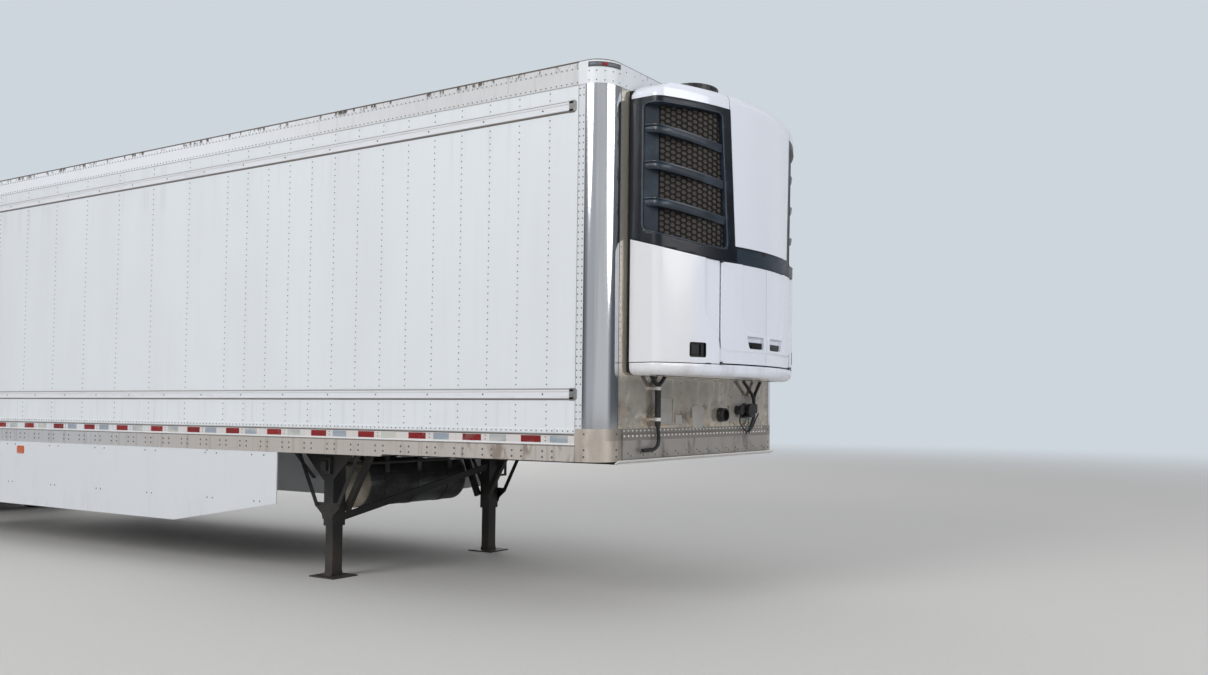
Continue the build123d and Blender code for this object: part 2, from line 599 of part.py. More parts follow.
def landing_braces():
    """Struts fore and aft of each leg, the diagonal between the legs, and the gear shaft with its crank."""
    x, o = aft(LEG_STATION), LEG_OUTER / 2
    y = LEG_Y - o - BRACE_T / 2
    struts = []
    for (foot, head), side in zip(BRACES, (-1, 1)):
        low = Vector(x + side * foot, y, GUSSET_Z + BRACE_LIFT)
        top = Vector(x + side * head, y, FRAME_BOTTOM)
        strut = bar(low, top + (top - low).normalized() * BRACE_W, BRACE_T, BRACE_W)
        below = block(x - 2 * head, x + 2 * head, y - BRACE_T, y + BRACE_T, 0, FRAME_BOTTOM)
        struts += both_sides(strut & below)
    y_in = LEG_Y - o
    z_low, z_high = CROSS_BRACE_Z
    diagonal = along_x(
        (
            (-y_in, z_low), (-y_in, z_low + CROSS_BRACE_W), (y_in, z_high + CROSS_BRACE_W), (y_in, z_high),
        ),
        x + o - BRACE_T,
        x + o - BRACE_T / 2,
    )
    shaft = rod((x, -y_in, SHAFT_Z), (x, y_in, SHAFT_Z), SHAFT_R)
    out_y = LEG_Y + o + LEG_BRACKET_T
    end_y, grip_z, w = out_y + CRANK_REACH, SHAFT_Z - CRANK_DROP, CRANK_W / 2
    crank = rod((x, out_y, SHAFT_Z), (x, end_y, SHAFT_Z), SHAFT_R)
    crank += block(x - w, x + w, end_y - CRANK_W, end_y, grip_z, SHAFT_Z)
    crank += rod((x, end_y - CRANK_GRIP, grip_z), (x, end_y, grip_z), CRANK_GRIP_R)
    save("landing_braces", *struts, diagonal, shaft, crank)


def fuel_tank():
    """Round tank with domed ends, slung under the cross members by three straps."""
    x, r = aft(TANK_STATION), TANK_R
    y0, y1, dome = TANK_Y0, TANK_Y1, TANK_DOME
    outline = [
        (0, y0 - dome), (TANK_KNUCKLE_R, y0 - TANK_KNUCKLE_L), (r, y0), (r, y1),
        (TANK_KNUCKLE_R, y1 + TANK_KNUCKLE_L), (0, y1 + dome),
    ]
    tank = Pos(x, 0, TANK_Z) * turned_y(outline, ROUND_SIDES)
    w, half, t = TANK_STRAP_W / 2, r - TANK_HANGER_INSET, TANK_HANGER_T
    for y in TANK_STRAP_Y:
        tank += rod((x, y - w, TANK_Z), (x, y + w, TANK_Z), r + TANK_STRAP_T, ROUND_SIDES)
        for side in (-1, 1):
            edge = x + side * half
            tank += block(edge, edge - side * t, y - w, y + w, TANK_Z, FRAME_BOTTOM)
        tank += block(x - half, x + half, y - w, y + w, FRAME_BOTTOM - t, FRAME_BOTTOM)
    save("fuel_tank", tank)


def skirt_face():
    """Y of the left skirt's inner face."""
    return PLATE_Y - RAIL_PLATE_T + SKIRT_LAP


def skirt_end():
    """Station where the skirts stop ahead of the tandem."""
    return TANDEM_STATION - SKIRT_TANDEM_GAP


def skirts():
    """Side skirts under the bottom rails, their nose swept up at the lower front corner."""
    outline = (
        (aft(SKIRT_START), FRAME_BOTTOM),
        (aft(SKIRT_START), SKIRT_NOSE_LOW),
        (aft(SKIRT_KINK), SKIRT_LOW),
        (aft(skirt_end()), SKIRT_LOW),
        (aft(skirt_end()), FRAME_BOTTOM),
    )
    save("skirts", *both_sides(along_y(outline, skirt_face(), skirt_face() + SKIRT_T)))


def skirt_struts():
    """Slanted struts from the cross members down to the inside of each skirt."""
    y0 = skirt_face()
    count = int((skirt_end() - STRUT_W - STRUT_FIRST) // STRUT_PITCH) + 1
    struts = []
    for i in range(count):
        x = aft(STRUT_FIRST + i * STRUT_PITCH)
        strut = along_x(
            (
                (STRUT_TOP_Y, FRAME_BOTTOM),
                (STRUT_TOP_Y + STRUT_T, FRAME_BOTTOM),
                (y0, STRUT_FOOT_Z + STRUT_T),
                (y0, STRUT_FOOT_Z),
            ),
            x - STRUT_W / 2,
            x + STRUT_W / 2,
        )
        struts += both_sides(strut)
    save("skirt_struts", *struts)


# Sliding tandem


def slide_rails():
    """Channel rails under the body that the tandem slides along."""
    x0, x1 = aft(SLIDE_RAIL_END), aft(SLIDE_RAIL_START)
    y0, y1 = SLIDE_RAIL_Y - SLIDE_RAIL_W / 2, SLIDE_RAIL_Y + SLIDE_RAIL_W / 2
    z0, z1, t = FRAME_BOTTOM - SLIDE_RAIL_H, FRAME_BOTTOM, SLIDE_WALL
    outline = (
        (y0, z0), (y1, z0), (y1, z0 + t), (y0 + t, z0 + t),
        (y0 + t, z1 - t), (y1, z1 - t), (y1, z1), (y0, z1),
    )
    save("slide_rails", *both_sides(along_x(outline, x0, x1)))


def axle_stations():
    """Stations of the front and the rear axle of the tandem."""
    return (TANDEM_STATION - AXLE_SPREAD / 2, TANDEM_STATION + AXLE_SPREAD / 2)


def bogie_frame():
    """Slider box: two rails joined by tubes, with the suspension hangers below."""
    x0, x1 = aft(TANDEM_STATION + BOGIE_HALF_LENGTH), aft(TANDEM_STATION - BOGIE_HALF_LENGTH)
    z1 = FRAME_BOTTOM - SLIDE_RAIL_H
    z0 = z1 - BOGIE_RAIL_H
    y0, y1 = SLIDE_RAIL_Y - BOGIE_RAIL_W / 2, SLIDE_RAIL_Y + BOGIE_RAIL_W / 2
    frame = block(x0, x1, y0, y1, z0, z1) + block(x0, x1, -y1, -y0, z0, z1)
    for offset in BOGIE_TUBES:
        x, z = aft(TANDEM_STATION) + offset, (z0 + z1) / 2
        frame += rod((x, -y0, z), (x, y0, z), BOGIE_TUBE_R)
    for station in axle_stations():
        x = aft(station) + HANGER_REACH
        for side in (-1, 1):
            for face in (-1, 1):
                y = side * SLIDE_RAIL_Y + face * (ARM_W / 2 + HANGER_SIDE_GAP + HANGER_T / 2)
                frame += along_y(
                    (
                        (x - HANGER_LENGTH / 2, z0), (x - HANGER_EYE, HANGER_Z - HANGER_EYE),
                        (x + HANGER_EYE, HANGER_Z - HANGER_EYE), (x + HANGER_LENGTH / 2, z0),
                    ),
                    y - HANGER_T / 2,
                    y + HANGER_T / 2,
                )
            y = side * SLIDE_RAIL_Y
            reach = ARM_W / 2 + HANGER_SIDE_GAP
            frame += rod((x, y - reach, HANGER_Z), (x, y + reach, HANGER_Z), ARM_PIN_R)
    save("bogie_frame", frame)


def trailing_arms():
    """Arms from the hangers back under the axles to the air springs."""
    arms = []
    h = ARM_H / 2
    for station in axle_stations():
        x = aft(station)
        pivot = x + HANGER_REACH
        seat, tail = AXLE_Z + AXLE_R + ARM_SEAT_GAP, x - ARM_TAIL - ARM_PAD
        outline = (
            (pivot + ARM_EYE, HANGER_Z - h),
            (pivot + ARM_EYE, HANGER_Z + h),
            (x + AXLE_SEAT_HALF, seat + ARM_H),
            (tail, seat + ARM_H),
            (tail, seat + ARM_H - ARM_PAD_T),
            (x - AXLE_SEAT_HALF, seat),
            (x - AXLE_SEAT_HALF, AXLE_Z),
            (x + AXLE_SEAT_HALF, AXLE_Z),
            (x + AXLE_SEAT_HALF, seat),
        )
        y0, y1 = SLIDE_RAIL_Y - ARM_W / 2, SLIDE_RAIL_Y + ARM_W / 2
        arm = along_y(outline, y0, y1)
        arm -= rod((pivot, y0 - 1, HANGER_Z), (pivot, y1 + 1, HANGER_Z), ARM_PIN_R)
        arm -= rod((x, y0 - 1, AXLE_Z), (x, y1 + 1, AXLE_Z), AXLE_R)
        arms += both_sides(arm)
    save("trailing_arms", *arms)


def dual_centres():
    """Y of the inner and the outer tyre's centre plane on the left side."""
    return TRACK_Y - DUAL_SPACING / 2, TRACK_Y + DUAL_SPACING / 2


def axles():
    """Round axle beams with their spindles, brake plates and brake chambers."""
    beams = []
    for station in axle_stations():
        x = aft(station)
        drum_mouth = TRACK_Y - DISC_T / 2 - DRUM_DEPTH
        beam_half = drum_mouth + BEAM_INSET
        beam = rod((x, -beam_half, AXLE_Z), (x, beam_half, AXLE_Z), AXLE_R)
        end = TRACK_Y + HUB_REACH - SPINDLE_TIP_GAP
        beam += rod((x, -end, AXLE_Z), (x, end, AXLE_Z), SPINDLE_R)
        for side in (-1, 1):
            y = side * (drum_mouth + BRAKE_PLATE_INSET)
            beam += rod((x, y, AXLE_Z), (x, y + side * BRAKE_PLATE_T, AXLE_Z), BRAKE_PLATE_R, 20)
            cy = side * CHAMBER_Y
            z = AXLE_Z + CHAMBER_Z
            chamber_x, reach = x - CHAMBER_X, CHAMBER_L / 2
            beam += rod((chamber_x, cy - reach, z), (chamber_x, cy + reach, z), CHAMBER_R)
            low, high = CHAMBER_STRAP_Z
            w = CHAMBER_STRAP_W / 2
            beam += block(x - CHAMBER_X, x, cy - w, cy + w, z + low, z + high)
        beams.append(beam)
    save("axles", *beams)


def air_springs():
    """Rolling-lobe air springs between the arms' tails and the slider box."""
    springs = []
    z0 = AXLE_Z + AXLE_R + ARM_SEAT_GAP + ARM_H
    z1 = FRAME_BOTTOM - SLIDE_RAIL_H - BOGIE_RAIL_H
    for station in axle_stations():
        x = aft(station) - ARM_TAIL
        outline = [
            (0, z0),
            (SPRING_BEAD_R, z0),
            (SPRING_BEAD_R, z0 + SPRING_LIFT),
            (SPRING_R, z0 + SPRING_ROLL),
            (SPRING_R, z1 - SPRING_LIFT),
            (SPRING_BEAD_R, z1),
            (0, z1),
        ]
        springs += both_sides(Pos(x, SLIDE_RAIL_Y, 0) * turned(outline, SPRING_SIDES))
    save("air_springs", *springs)


def shock_absorbers():
    """Shock absorbers from each arm up to the slider box."""
    shocks = []
    for station in axle_stations():
        x = aft(station)
        y = SLIDE_RAIL_Y - BOGIE_RAIL_W / 2 - SHOCK_R - SHOCK_GAP
        low_x, low_z = x - SHOCK_FOOT, AXLE_Z + AXLE_R + SHOCK_FOOT_LIFT
        top_x, top_z = x + SHOCK_HEAD, FRAME_BOTTOM - SLIDE_RAIL_H - BOGIE_RAIL_H / 2
        low, top = Vector(low_x, y, low_z), Vector(top_x, y, top_z)
        middle = low + (top - low) * SHOCK_BODY_SHARE
        body = rod(low, middle, SHOCK_R) + rod(middle, top, SHOCK_ROD_R)
        body += rod((top_x, y - SHOCK_EYE, top_z), (top_x, y + SHOCK_R, top_z), SHOCK_EYE)
        body += rod((low_x, y - SHOCK_EYE, low_z), (low_x, SLIDE_RAIL_Y - ARM_W / 2, low_z), SHOCK_EYE)
        shocks += both_sides(body)
    save("shock_absorbers", *shocks)


def air_tanks():
    """Two compressed-air reservoirs hung ahead of the tandem."""
    tanks = []
    nearest = int((TANDEM_STATION - AIR_TANK_LEAD - CROSS_MEMBER_FIRST) // CROSS_MEMBER_PITCH)
    w = AIR_TANK_STRAP_W / 2
    for beam in (nearest, nearest + 1):
        x = aft(CROSS_MEMBER_FIRST + beam * CROSS_MEMBER_PITCH)
        tank = rod((x, -AIR_TANK_HALF, AIR_TANK_Z), (x, AIR_TANK_HALF, AIR_TANK_Z), AIR_TANK_R)
        for y in (-AIR_TANK_STRAP_Y, AIR_TANK_STRAP_Y):
            tank += block(x - w, x + w, y - w, y + w, AIR_TANK_Z, FRAME_BOTTOM)
        tanks.append(tank)
    save("air_tanks", *tanks)


# Wheel ends


def tyre(y_mid):
    """One tyre as a ring with flat tread, shoulders and straight sidewalls."""
    t, s, b = TYRE_TREAD_W / 2, TYRE_W / 2, TYRE_BEAD_W / 2
    waist = (TYRE_R + TYRE_BEAD_R) / 2 + TYRE_WAIST_LIFT
    seat, tread = TYRE_BEAD_R + TYRE_BEAD_GAP, TYRE_R / cos(pi / TYRE_SIDES)
    outline = [(seat, -b), (seat, b), (waist, s), (tread, t), (tread, -t), (waist, -s)]
    return Pos(0, y_mid, 0) * turned_y(outline, TYRE_SIDES)


def wheel_pair():
    """Dual wheels bolted back to back on a hub with its brake drum, about the Y axis."""
    inner_mid, outer_mid = dual_centres()
    seat_r = TYRE_BEAD_R
    wall_r = seat_r - RIM_WALL
    half = TYRE_BEAD_W / 2 + RIM_LIP_GAP
    face, back = TRACK_Y + DISC_T / 2, TRACK_Y - DISC_T / 2
    outer_lip, inner_lip = outer_mid + half, inner_mid - half
    outer_back, inner_back = outer_mid - half, inner_mid + half
    cap_y = TRACK_Y + HUB_REACH
    cavity = back - DRUM_WALL
    drum_in = DRUM_R - DRUM_WALL
    outline = [
        (SPINDLE_R + SPINDLE_CLEAR, cavity - HUB_TAIL),
        (HUB_R, cavity - HUB_TAIL),
        (HUB_R, cavity),
        (drum_in, cavity),
        (drum_in, back - DRUM_DEPTH),
        (DRUM_R, back - DRUM_DEPTH),
        (DRUM_R, back),
        (wall_r, inner_back),
        (wall_r, inner_lip - RIM_FLANGE_T),
        (RIM_FLANGE_R, inner_lip - RIM_FLANGE_T),
        (RIM_FLANGE_R, inner_lip),
        (seat_r, inner_lip),
        (seat_r, inner_back),
        (DISC_R, TRACK_Y),
        (seat_r, outer_back),
        (seat_r, outer_lip),
        (RIM_FLANGE_R, outer_lip),
        (RIM_FLANGE_R, outer_lip + RIM_FLANGE_T),
        (wall_r, outer_lip + RIM_FLANGE_T),
        (wall_r, outer_back),
        (DRUM_R, face),
        (HUB_R, face),
        (HUB_R, face + HUB_STEP),
        (HUB_CAP_R, cap_y - HUB_CAP_L),
        (HUB_CAP_R, cap_y),
        (0, cap_y),
        (0, cap_y - HUB_CAP_T),
        (SPINDLE_R + SPINDLE_CLEAR, cap_y - HUB_CAP_T),
    ]
    wheel = turned_y(outline, WHEEL_SIDES)
    for i in range(HAND_HOLES):
        angle = 2 * pi / HAND_HOLES * i
        x, z = HAND_HOLE_CIRCLE * cos(angle), HAND_HOLE_CIRCLE * sin(angle)
        wheel -= bore((x, TRACK_Y - DISC_T, z), (x, TRACK_Y + DISC_T, z), HAND_HOLE_R, HAND_HOLE_SIDES)
    return wheel


def wheel_ends():
    """A dual tyre pair and its wheels at each end of both axles."""
    inner_mid, outer_mid = dual_centres()
    pair = wheel_pair()
    tyres = [tyre(inner_mid), tyre(outer_mid)]
    for place, station in zip(("front", "rear"), axle_stations()):
        move = Pos(aft(station), 0, AXLE_Z)
        left = [move * solid for solid in tyres]
        save(f"tyres_{place}_left", *left)
        save(f"tyres_{place}_right", *mirrored(*left))
        save(f"wheels_{place}_left", move * pair)
        save(f"wheels_{place}_right", *mirrored(move * pair))


# Rear end


def rear_posts():
    """Rear corner posts between the sill and the header, with their hinge eyes and pins."""
    post = block(REAR_X, REAR_X + REAR_DEPTH, HALF - REAR_POST_W, HALF, FLOOR_TOP, REAR_HEADER_Z)
    pin_x = REAR_X - HINGE_OFFSET
    eye_off = HINGE_LEAF_H / 2 + HINGE_EYE_GAP
    for z in HINGE_HEIGHTS:
        for low, high in ((z + eye_off, z + eye_off + HINGE_EYE_H), (z - eye_off - HINGE_EYE_H, z - eye_off)):
            post += rod((pin_x, HINGE_Y, low), (pin_x, HINGE_Y, high), HINGE_EYE_R)
            post += block(pin_x, REAR_X, HINGE_Y - HINGE_EYE_R, HINGE_Y + HINGE_EYE_R, low, high)
        post += rod((pin_x, HINGE_Y, z - eye_off), (pin_x, HINGE_Y, z + eye_off), HINGE_PIN_R)
    save("rear_posts", *both_sides(post))


def lock_keepers(low, high):
    """Keepers that the ends of the lock rods turn behind, as blocks between two heights."""
    x, w = REAR_X - KEEPER_REACH, KEEPER_W / 2
    return both_sides(*[block(x, REAR_X, y - w, y + w, low, high) for y in LOCK_ROD_Y])


def rear_header():
    """Beam across the top of the rear opening, with the upper keepers."""
    beam = block(REAR_X, REAR_X + REAR_DEPTH, -HALF, HALF, REAR_HEADER_Z, BODY_TOP)
    low = REAR_HEADER_Z + LOCK_ROD_OVER + KEEPER_GAP
    save("rear_header", beam + lock_keepers(low, low + KEEPER_T))


def rear_sill():
    """Beam under the rear doors that meets the dock, with the lower keepers."""
    beam = block(REAR_X, REAR_X + REAR_DEPTH, -HALF, HALF, FRAME_BOTTOM, FLOOR_TOP)
    high = FLOOR_TOP - LOCK_ROD_OVER - KEEPER_GAP
    save("rear_sill", beam + lock_keepers(high - KEEPER_T, high))


def rear_door():
    """Left rear door: a thick insulated panel with bevelled meeting edge, hinge straps and knuckles."""
    x0, x1 = REAR_X, REAR_X + DOOR_T
    y_out = HALF - REAR_POST_W - DOOR_GAP
    z0, z1 = FLOOR_TOP + DOOR_GAP, REAR_HEADER_Z - DOOR_GAP
    panel = along_z(((x0, DOOR_MEET), (x0, y_out), (x1, y_out), (x1, DOOR_MEET + DOOR_BEVEL)), z0, z1)
    pin_x = REAR_X - HINGE_OFFSET
    h = HINGE_LEAF_H / 2
    bend_y = y_out - HINGE_STRAP_BEND
    for z in HINGE_HEIGHTS:
        strap = along_z(
            (
                (pin_x - HINGE_EYE_R / 2, HINGE_Y), (pin_x - HINGE_EYE_R / 2, HINGE_Y - HINGE_EYE_R),
                (REAR_X - HINGE_STRAP_T, bend_y), (REAR_X - HINGE_STRAP_T, y_out - HINGE_STRAP_L),
                (REAR_X, y_out - HINGE_STRAP_L), (REAR_X, bend_y), (pin_x + HINGE_EYE_R / 2, HINGE_Y),
            ),
            z - h,
            z + h,
        )
        knuckle = rod((pin_x, HINGE_Y, z - h), (pin_x, HINGE_Y, z + h), HINGE_EYE_R)
        hole = bore((pin_x, HINGE_Y, z - h - 1), (pin_x, HINGE_Y, z + h + 1), HINGE_PIN_R + HINGE_PIN_CLEAR)
        panel = panel + strap + knuckle - hole
    return panel


def lock_rods():
    """Two lock rods of the left rear door, with their guides, cams and handles."""
    x = REAR_X - LOCK_ROD_OFF
    z0, z1 = FLOOR_TOP - LOCK_ROD_OVER, REAR_HEADER_Z + LOCK_ROD_OVER
    saddle_x = x - LOCK_ROD_R - LOCK_SADDLE_T
    rods = []
    for y in LOCK_ROD_Y:
        gear = rod((x, y, z0), (x, y, z1), LOCK_ROD_R)
        cam = LOCK_CAM_W / 2
        for z in (z0, z1 - LOCK_CAM_H):
            gear += block(x, REAR_X - LOCK_CAM_GAP, y - cam, y + cam, z, z + LOCK_CAM_H)
        w, h, saddle = LOCK_GUIDE_W / 2, LOCK_GUIDE_H / 2, LOCK_SADDLE_W / 2
        for z in LOCK_GUIDES:
            gear += block(REAR_X - LOCK_GUIDE_T, REAR_X, y - w, y + w, z - h, z + h)
            gear += block(saddle_x, REAR_X, y - saddle, y + saddle, z - h / 2, z + h / 2)
        z, t, w = LOCK_HANDLE_Z, LOCK_HANDLE_T / 2, LOCK_HANDLE_H / 2
        gear += block(x - t, x + t, y, y - LOCK_HANDLE_L, z - w, z + w)
        rods.append(gear)
    return rods


def rear_doors():
    """Both rear doors and their lock rods."""
    door = rear_door()
    rods = lock_rods()
    save("rear_door_left", door)
    save("rear_door_right", *mirrored(door))
    save("lock_rods_left", *rods)
    save("lock_rods_right", *mirrored(*rods))


def dock_bumpers():
    """Rubber blocks on the rear sill that meet the dock."""
    w, h, slope = DOCK_BUMPER_W / 2, DOCK_BUMPER_H, DOCK_BUMPER_SLOPE
    z1 = FLOOR_TOP - DOCK_BUMPER_DROP
    x = REAR_X - DOCK_BUMPER_REACH
    left = along_y(
        ((REAR_X, z1 - h), (REAR_X, z1), (x, z1 - slope), (x, z1 - h + slope)),
        DOCK_BUMPER_Y - w,
        DOCK_BUMPER_Y + w,
    )
    save("dock_bumpers", *both_sides(left))


def rear_guard():
    """Underride guard: a box beam on two posts below the rear frame."""
    x0, x1 = REAR_X + GUARD_INSET, REAR_X + GUARD_INSET + GUARD_DEPTH
    beam = block(x0, x1, -GUARD_HALF, GUARD_HALF, GUARD_Z, GUARD_Z + GUARD_H)
    for side in (-1, 1):
        y = side * GUARD_POST_Y
        w = GUARD_POST_W / 2
        beam += along_y(
            (
                (x0, GUARD_Z + GUARD_H), (x1, GUARD_Z + GUARD_H), (x1 + GUARD_POST_FLARE, FRAME_BOTTOM),
                (x0, FRAME_BOTTOM),
            ),
            y - w,
            y + w,
        )
    save("rear_guard", beam)


def mud_flaps():
    """Flaps behind the tandem, each on a hanger bar at the end of the slider box."""
    x = aft(TANDEM_STATION + BOGIE_HALF_LENGTH)
    rail_top = FRAME_BOTTOM - SLIDE_RAIL_H
    y_in, y_out = SLIDE_RAIL_Y - BOGIE_RAIL_W / 2, TRACK_Y + FLAP_W / 2
    bar_top = rail_top - FLAP_BAR_DROP
    hanger = block(x - FLAP_BAR_T, x, y_in, y_out, bar_top - FLAP_BAR_H, bar_top)
    flap_x = x - FLAP_BAR_T
    flap = block(flap_x - FLAP_T, flap_x, y_out - FLAP_W, y_out, FLAP_BOTTOM, bar_top)
    save("mud_flaps", *both_sides(flap + hanger))


def lamps():
    """Marker lamps on the skirts and header, and the tail lamps in the rear frame."""
    x = aft(MARKER_STATION)
    y0, y1 = skirt_face() + SKIRT_T, HALF - MARKER_PROUD_GAP
    lenses = both_sides(rod((x, y0, MARKER_Z), (x, y1, MARKER_Z), MARKER_R))
    round_corner = (CORNER_R + HEADER_PROUD) * sqrt(0.5)
    x, y = aft(CORNER_R) + round_corner, SKIN_Y - CORNER_R + round_corner
    plane = Plane(origin=(x, y, NOSE_LAMP_Z), x_dir=(-1, 1, 0), z_dir=(1, 1, 0)).offset(-LAMP_T)
    lens = extrude(plane * Rectangle(NOSE_LAMP_W, NOSE_LAMP_H), 2 * LAMP_T)
    lens -= body_plan(-HEADER_PROUD, aft(CORNER_STATION), TOP_RAIL_BOTTOM, BODY_TOP)
    lenses += both_sides(lens)
    z, w, h = (REAR_HEADER_Z + BODY_TOP) / 2, HEADER_LAMP_W / 2, HEADER_LAMP_H / 2
    lenses += [block(REAR_X - LAMP_T, REAR_X, y - w, y + w, z - h, z + h) for y in HEADER_LAMP_Y]
    z = (FRAME_BOTTOM + FLOOR_TOP) / 2 - TAIL_LAMP_DROP
    lenses += both_sides(*[rod((REAR_X - LAMP_T, y, z), (REAR_X, y, z), TAIL_LAMP_R) for y in TAIL_LAMP_Y])
    save("lamps", *lenses)


# Refrigeration unit

UNIT_BACK_X = NOSE_X + UNIT_GASKET
UNIT_TIP_X = NOSE_X + UNIT_REACH
UNIT_CENTRE_X = UNIT_TIP_X - UNIT_FRONT_R


def unit_plan(inset, z0, z1):
    """The unit seen from above, bowed at the front, drawn up from z0 to z1."""
    radius, half = UNIT_FRONT_R - inset, UNIT_HALF - inset
    corner_x = UNIT_CENTRE_X + sqrt(radius**2 - half**2)
    front = ThreePointArc((corner_x, -half), (UNIT_TIP_X - inset, 0), (corner_x, half))
    rest = Polyline((corner_x, half), (UNIT_BACK_X, half), (UNIT_BACK_X, -half), (corner_x, -half))
    face = make_face(front + rest)
    corners = face.vertices().sort_by(Axis.X)[-2:]
    face = fillet(corners, max(UNIT_CORNER_R - inset, 12))
    return Pos(0, 0, z0) * extrude(face, z1 - z0, dir=(0, 0, 1))


def unit_shell(inset, thickness, z0, z1):
    """A wall that follows the unit's plan, open at the back."""
    return unit_plan(inset, z0, z1) - unit_plan(inset + thickness, z0, z1) - block(
        UNIT_BACK_X - 1, UNIT_BACK_X, -UNIT_HALF, UNIT_HALF, z0, z1
    )


def band_edge(rise=0.0):
    """(x, z) points of the black band's lower edge, which climbs along the unit's sides."""
    climb = (NOSE_X + BAND_KINK_X - UNIT_BACK_X) * BAND_SLOPE
    return [
        (UNIT_TIP_X + 10, BAND_LOW + rise),
        (NOSE_X + BAND_KINK_X, BAND_LOW + rise),
        (UNIT_BACK_X, BAND_LOW + rise + climb),
    ]


def above_band(rise, top):
    """Everything between the band's lower edge, raised by rise, and a level top."""
    outline = band_edge(rise) + [(UNIT_BACK_X, top), (UNIT_TIP_X + 10, top)]
    return along_y(outline, -UNIT_HALF - 1, UNIT_HALF + 1)


def below_band(bottom, drop):
    """Everything between a level bottom and the band's lower edge, less a gap."""
    outline = band_edge(-drop) + [(UNIT_BACK_X, bottom), (UNIT_TIP_X + 10, bottom)]
    return along_y(outline, -UNIT_HALF - 1, UNIT_HALF + 1)


def centre_wedge(low_y, high_y, z0, z1):
    """Middle of the unit between two slightly splayed lines, seen from the front."""
    slope = (high_y - low_y) / (UNIT_CAP_BOTTOM - BAND_HIGH)
    y0, y1 = low_y + slope * (z0 - BAND_HIGH), low_y + slope * (z1 - BAND_HIGH)
    return along_x(((-y0, z0), (y0, z0), (y1, z1), (-y1, z1)), UNIT_BACK_X, UNIT_TIP_X + 10)


def unit_cowl():
    """Crowned top of the unit with its upper middle panel."""
    my, mz = UNIT_SHOULDER_MID
    x0, x1 = UNIT_BACK_X, UNIT_TIP_X + 10
    y, ys, zs, zt = UNIT_HALF, UNIT_SHOULDER_Y, UNIT_SHOULDER_Z, UNIT_TOP_Z
    crown_line = (
        Line((x0, -y, UNIT_CAP_BOTTOM - 1), (x0, y, UNIT_CAP_BOTTOM - 1))
        + Line((x0, y, UNIT_CAP_BOTTOM - 1), (x0, y, zs))
        + ThreePointArc((x0, y, zs), (x0, my, mz), (x0, ys, zt))
        + Line((x0, ys, zt), (x0, -ys, zt))
        + ThreePointArc((x0, -ys, zt), (x0, -my, mz), (x0, -y, zs))
        + Line((x0, -y, zs), (x0, -y, UNIT_CAP_BOTTOM - 1))
    )
    crown = extrude(make_face(crown_line), x1 - x0, dir=(1, 0, 0))
    cap = unit_plan(0, UNIT_CAP_BOTTOM, UNIT_TOP_Z)
    rim = [e for e in cap.faces().sort_by(Axis.Z)[-1].edges() if e.center().X > UNIT_BACK_X + 1]
    cap = fillet(rim, UNIT_TOP_R) & crown
    hollow = unit_plan(UNIT_SHELL_T * 2, UNIT_CAP_BOTTOM, UNIT_SHOULDER_Z)
    panel = unit_shell(0, UNIT_SHELL_T, BAND_HIGH + PANEL_SEAM, UNIT_CAP_BOTTOM)
    panel &= centre_wedge(CENTRE_PANEL_LOW_Y, CENTRE_PANEL_HIGH_Y, BAND_HIGH + PANEL_SEAM, UNIT_CAP_BOTTOM)
    fan_x, fan_r = NOSE_X + FAN_STATION, FAN_R + FAN_RING_T + FAN_CLEAR
    fans = [
        bore((fan_x, fan_y, UNIT_CAP_BOTTOM), (fan_x, fan_y, UNIT_TOP_Z), fan_r, ROUND_SIDES)
        for fan_y in (-FAN_Y, FAN_Y)
    ]
    save("unit_cowl", cap - hollow - fans + panel)


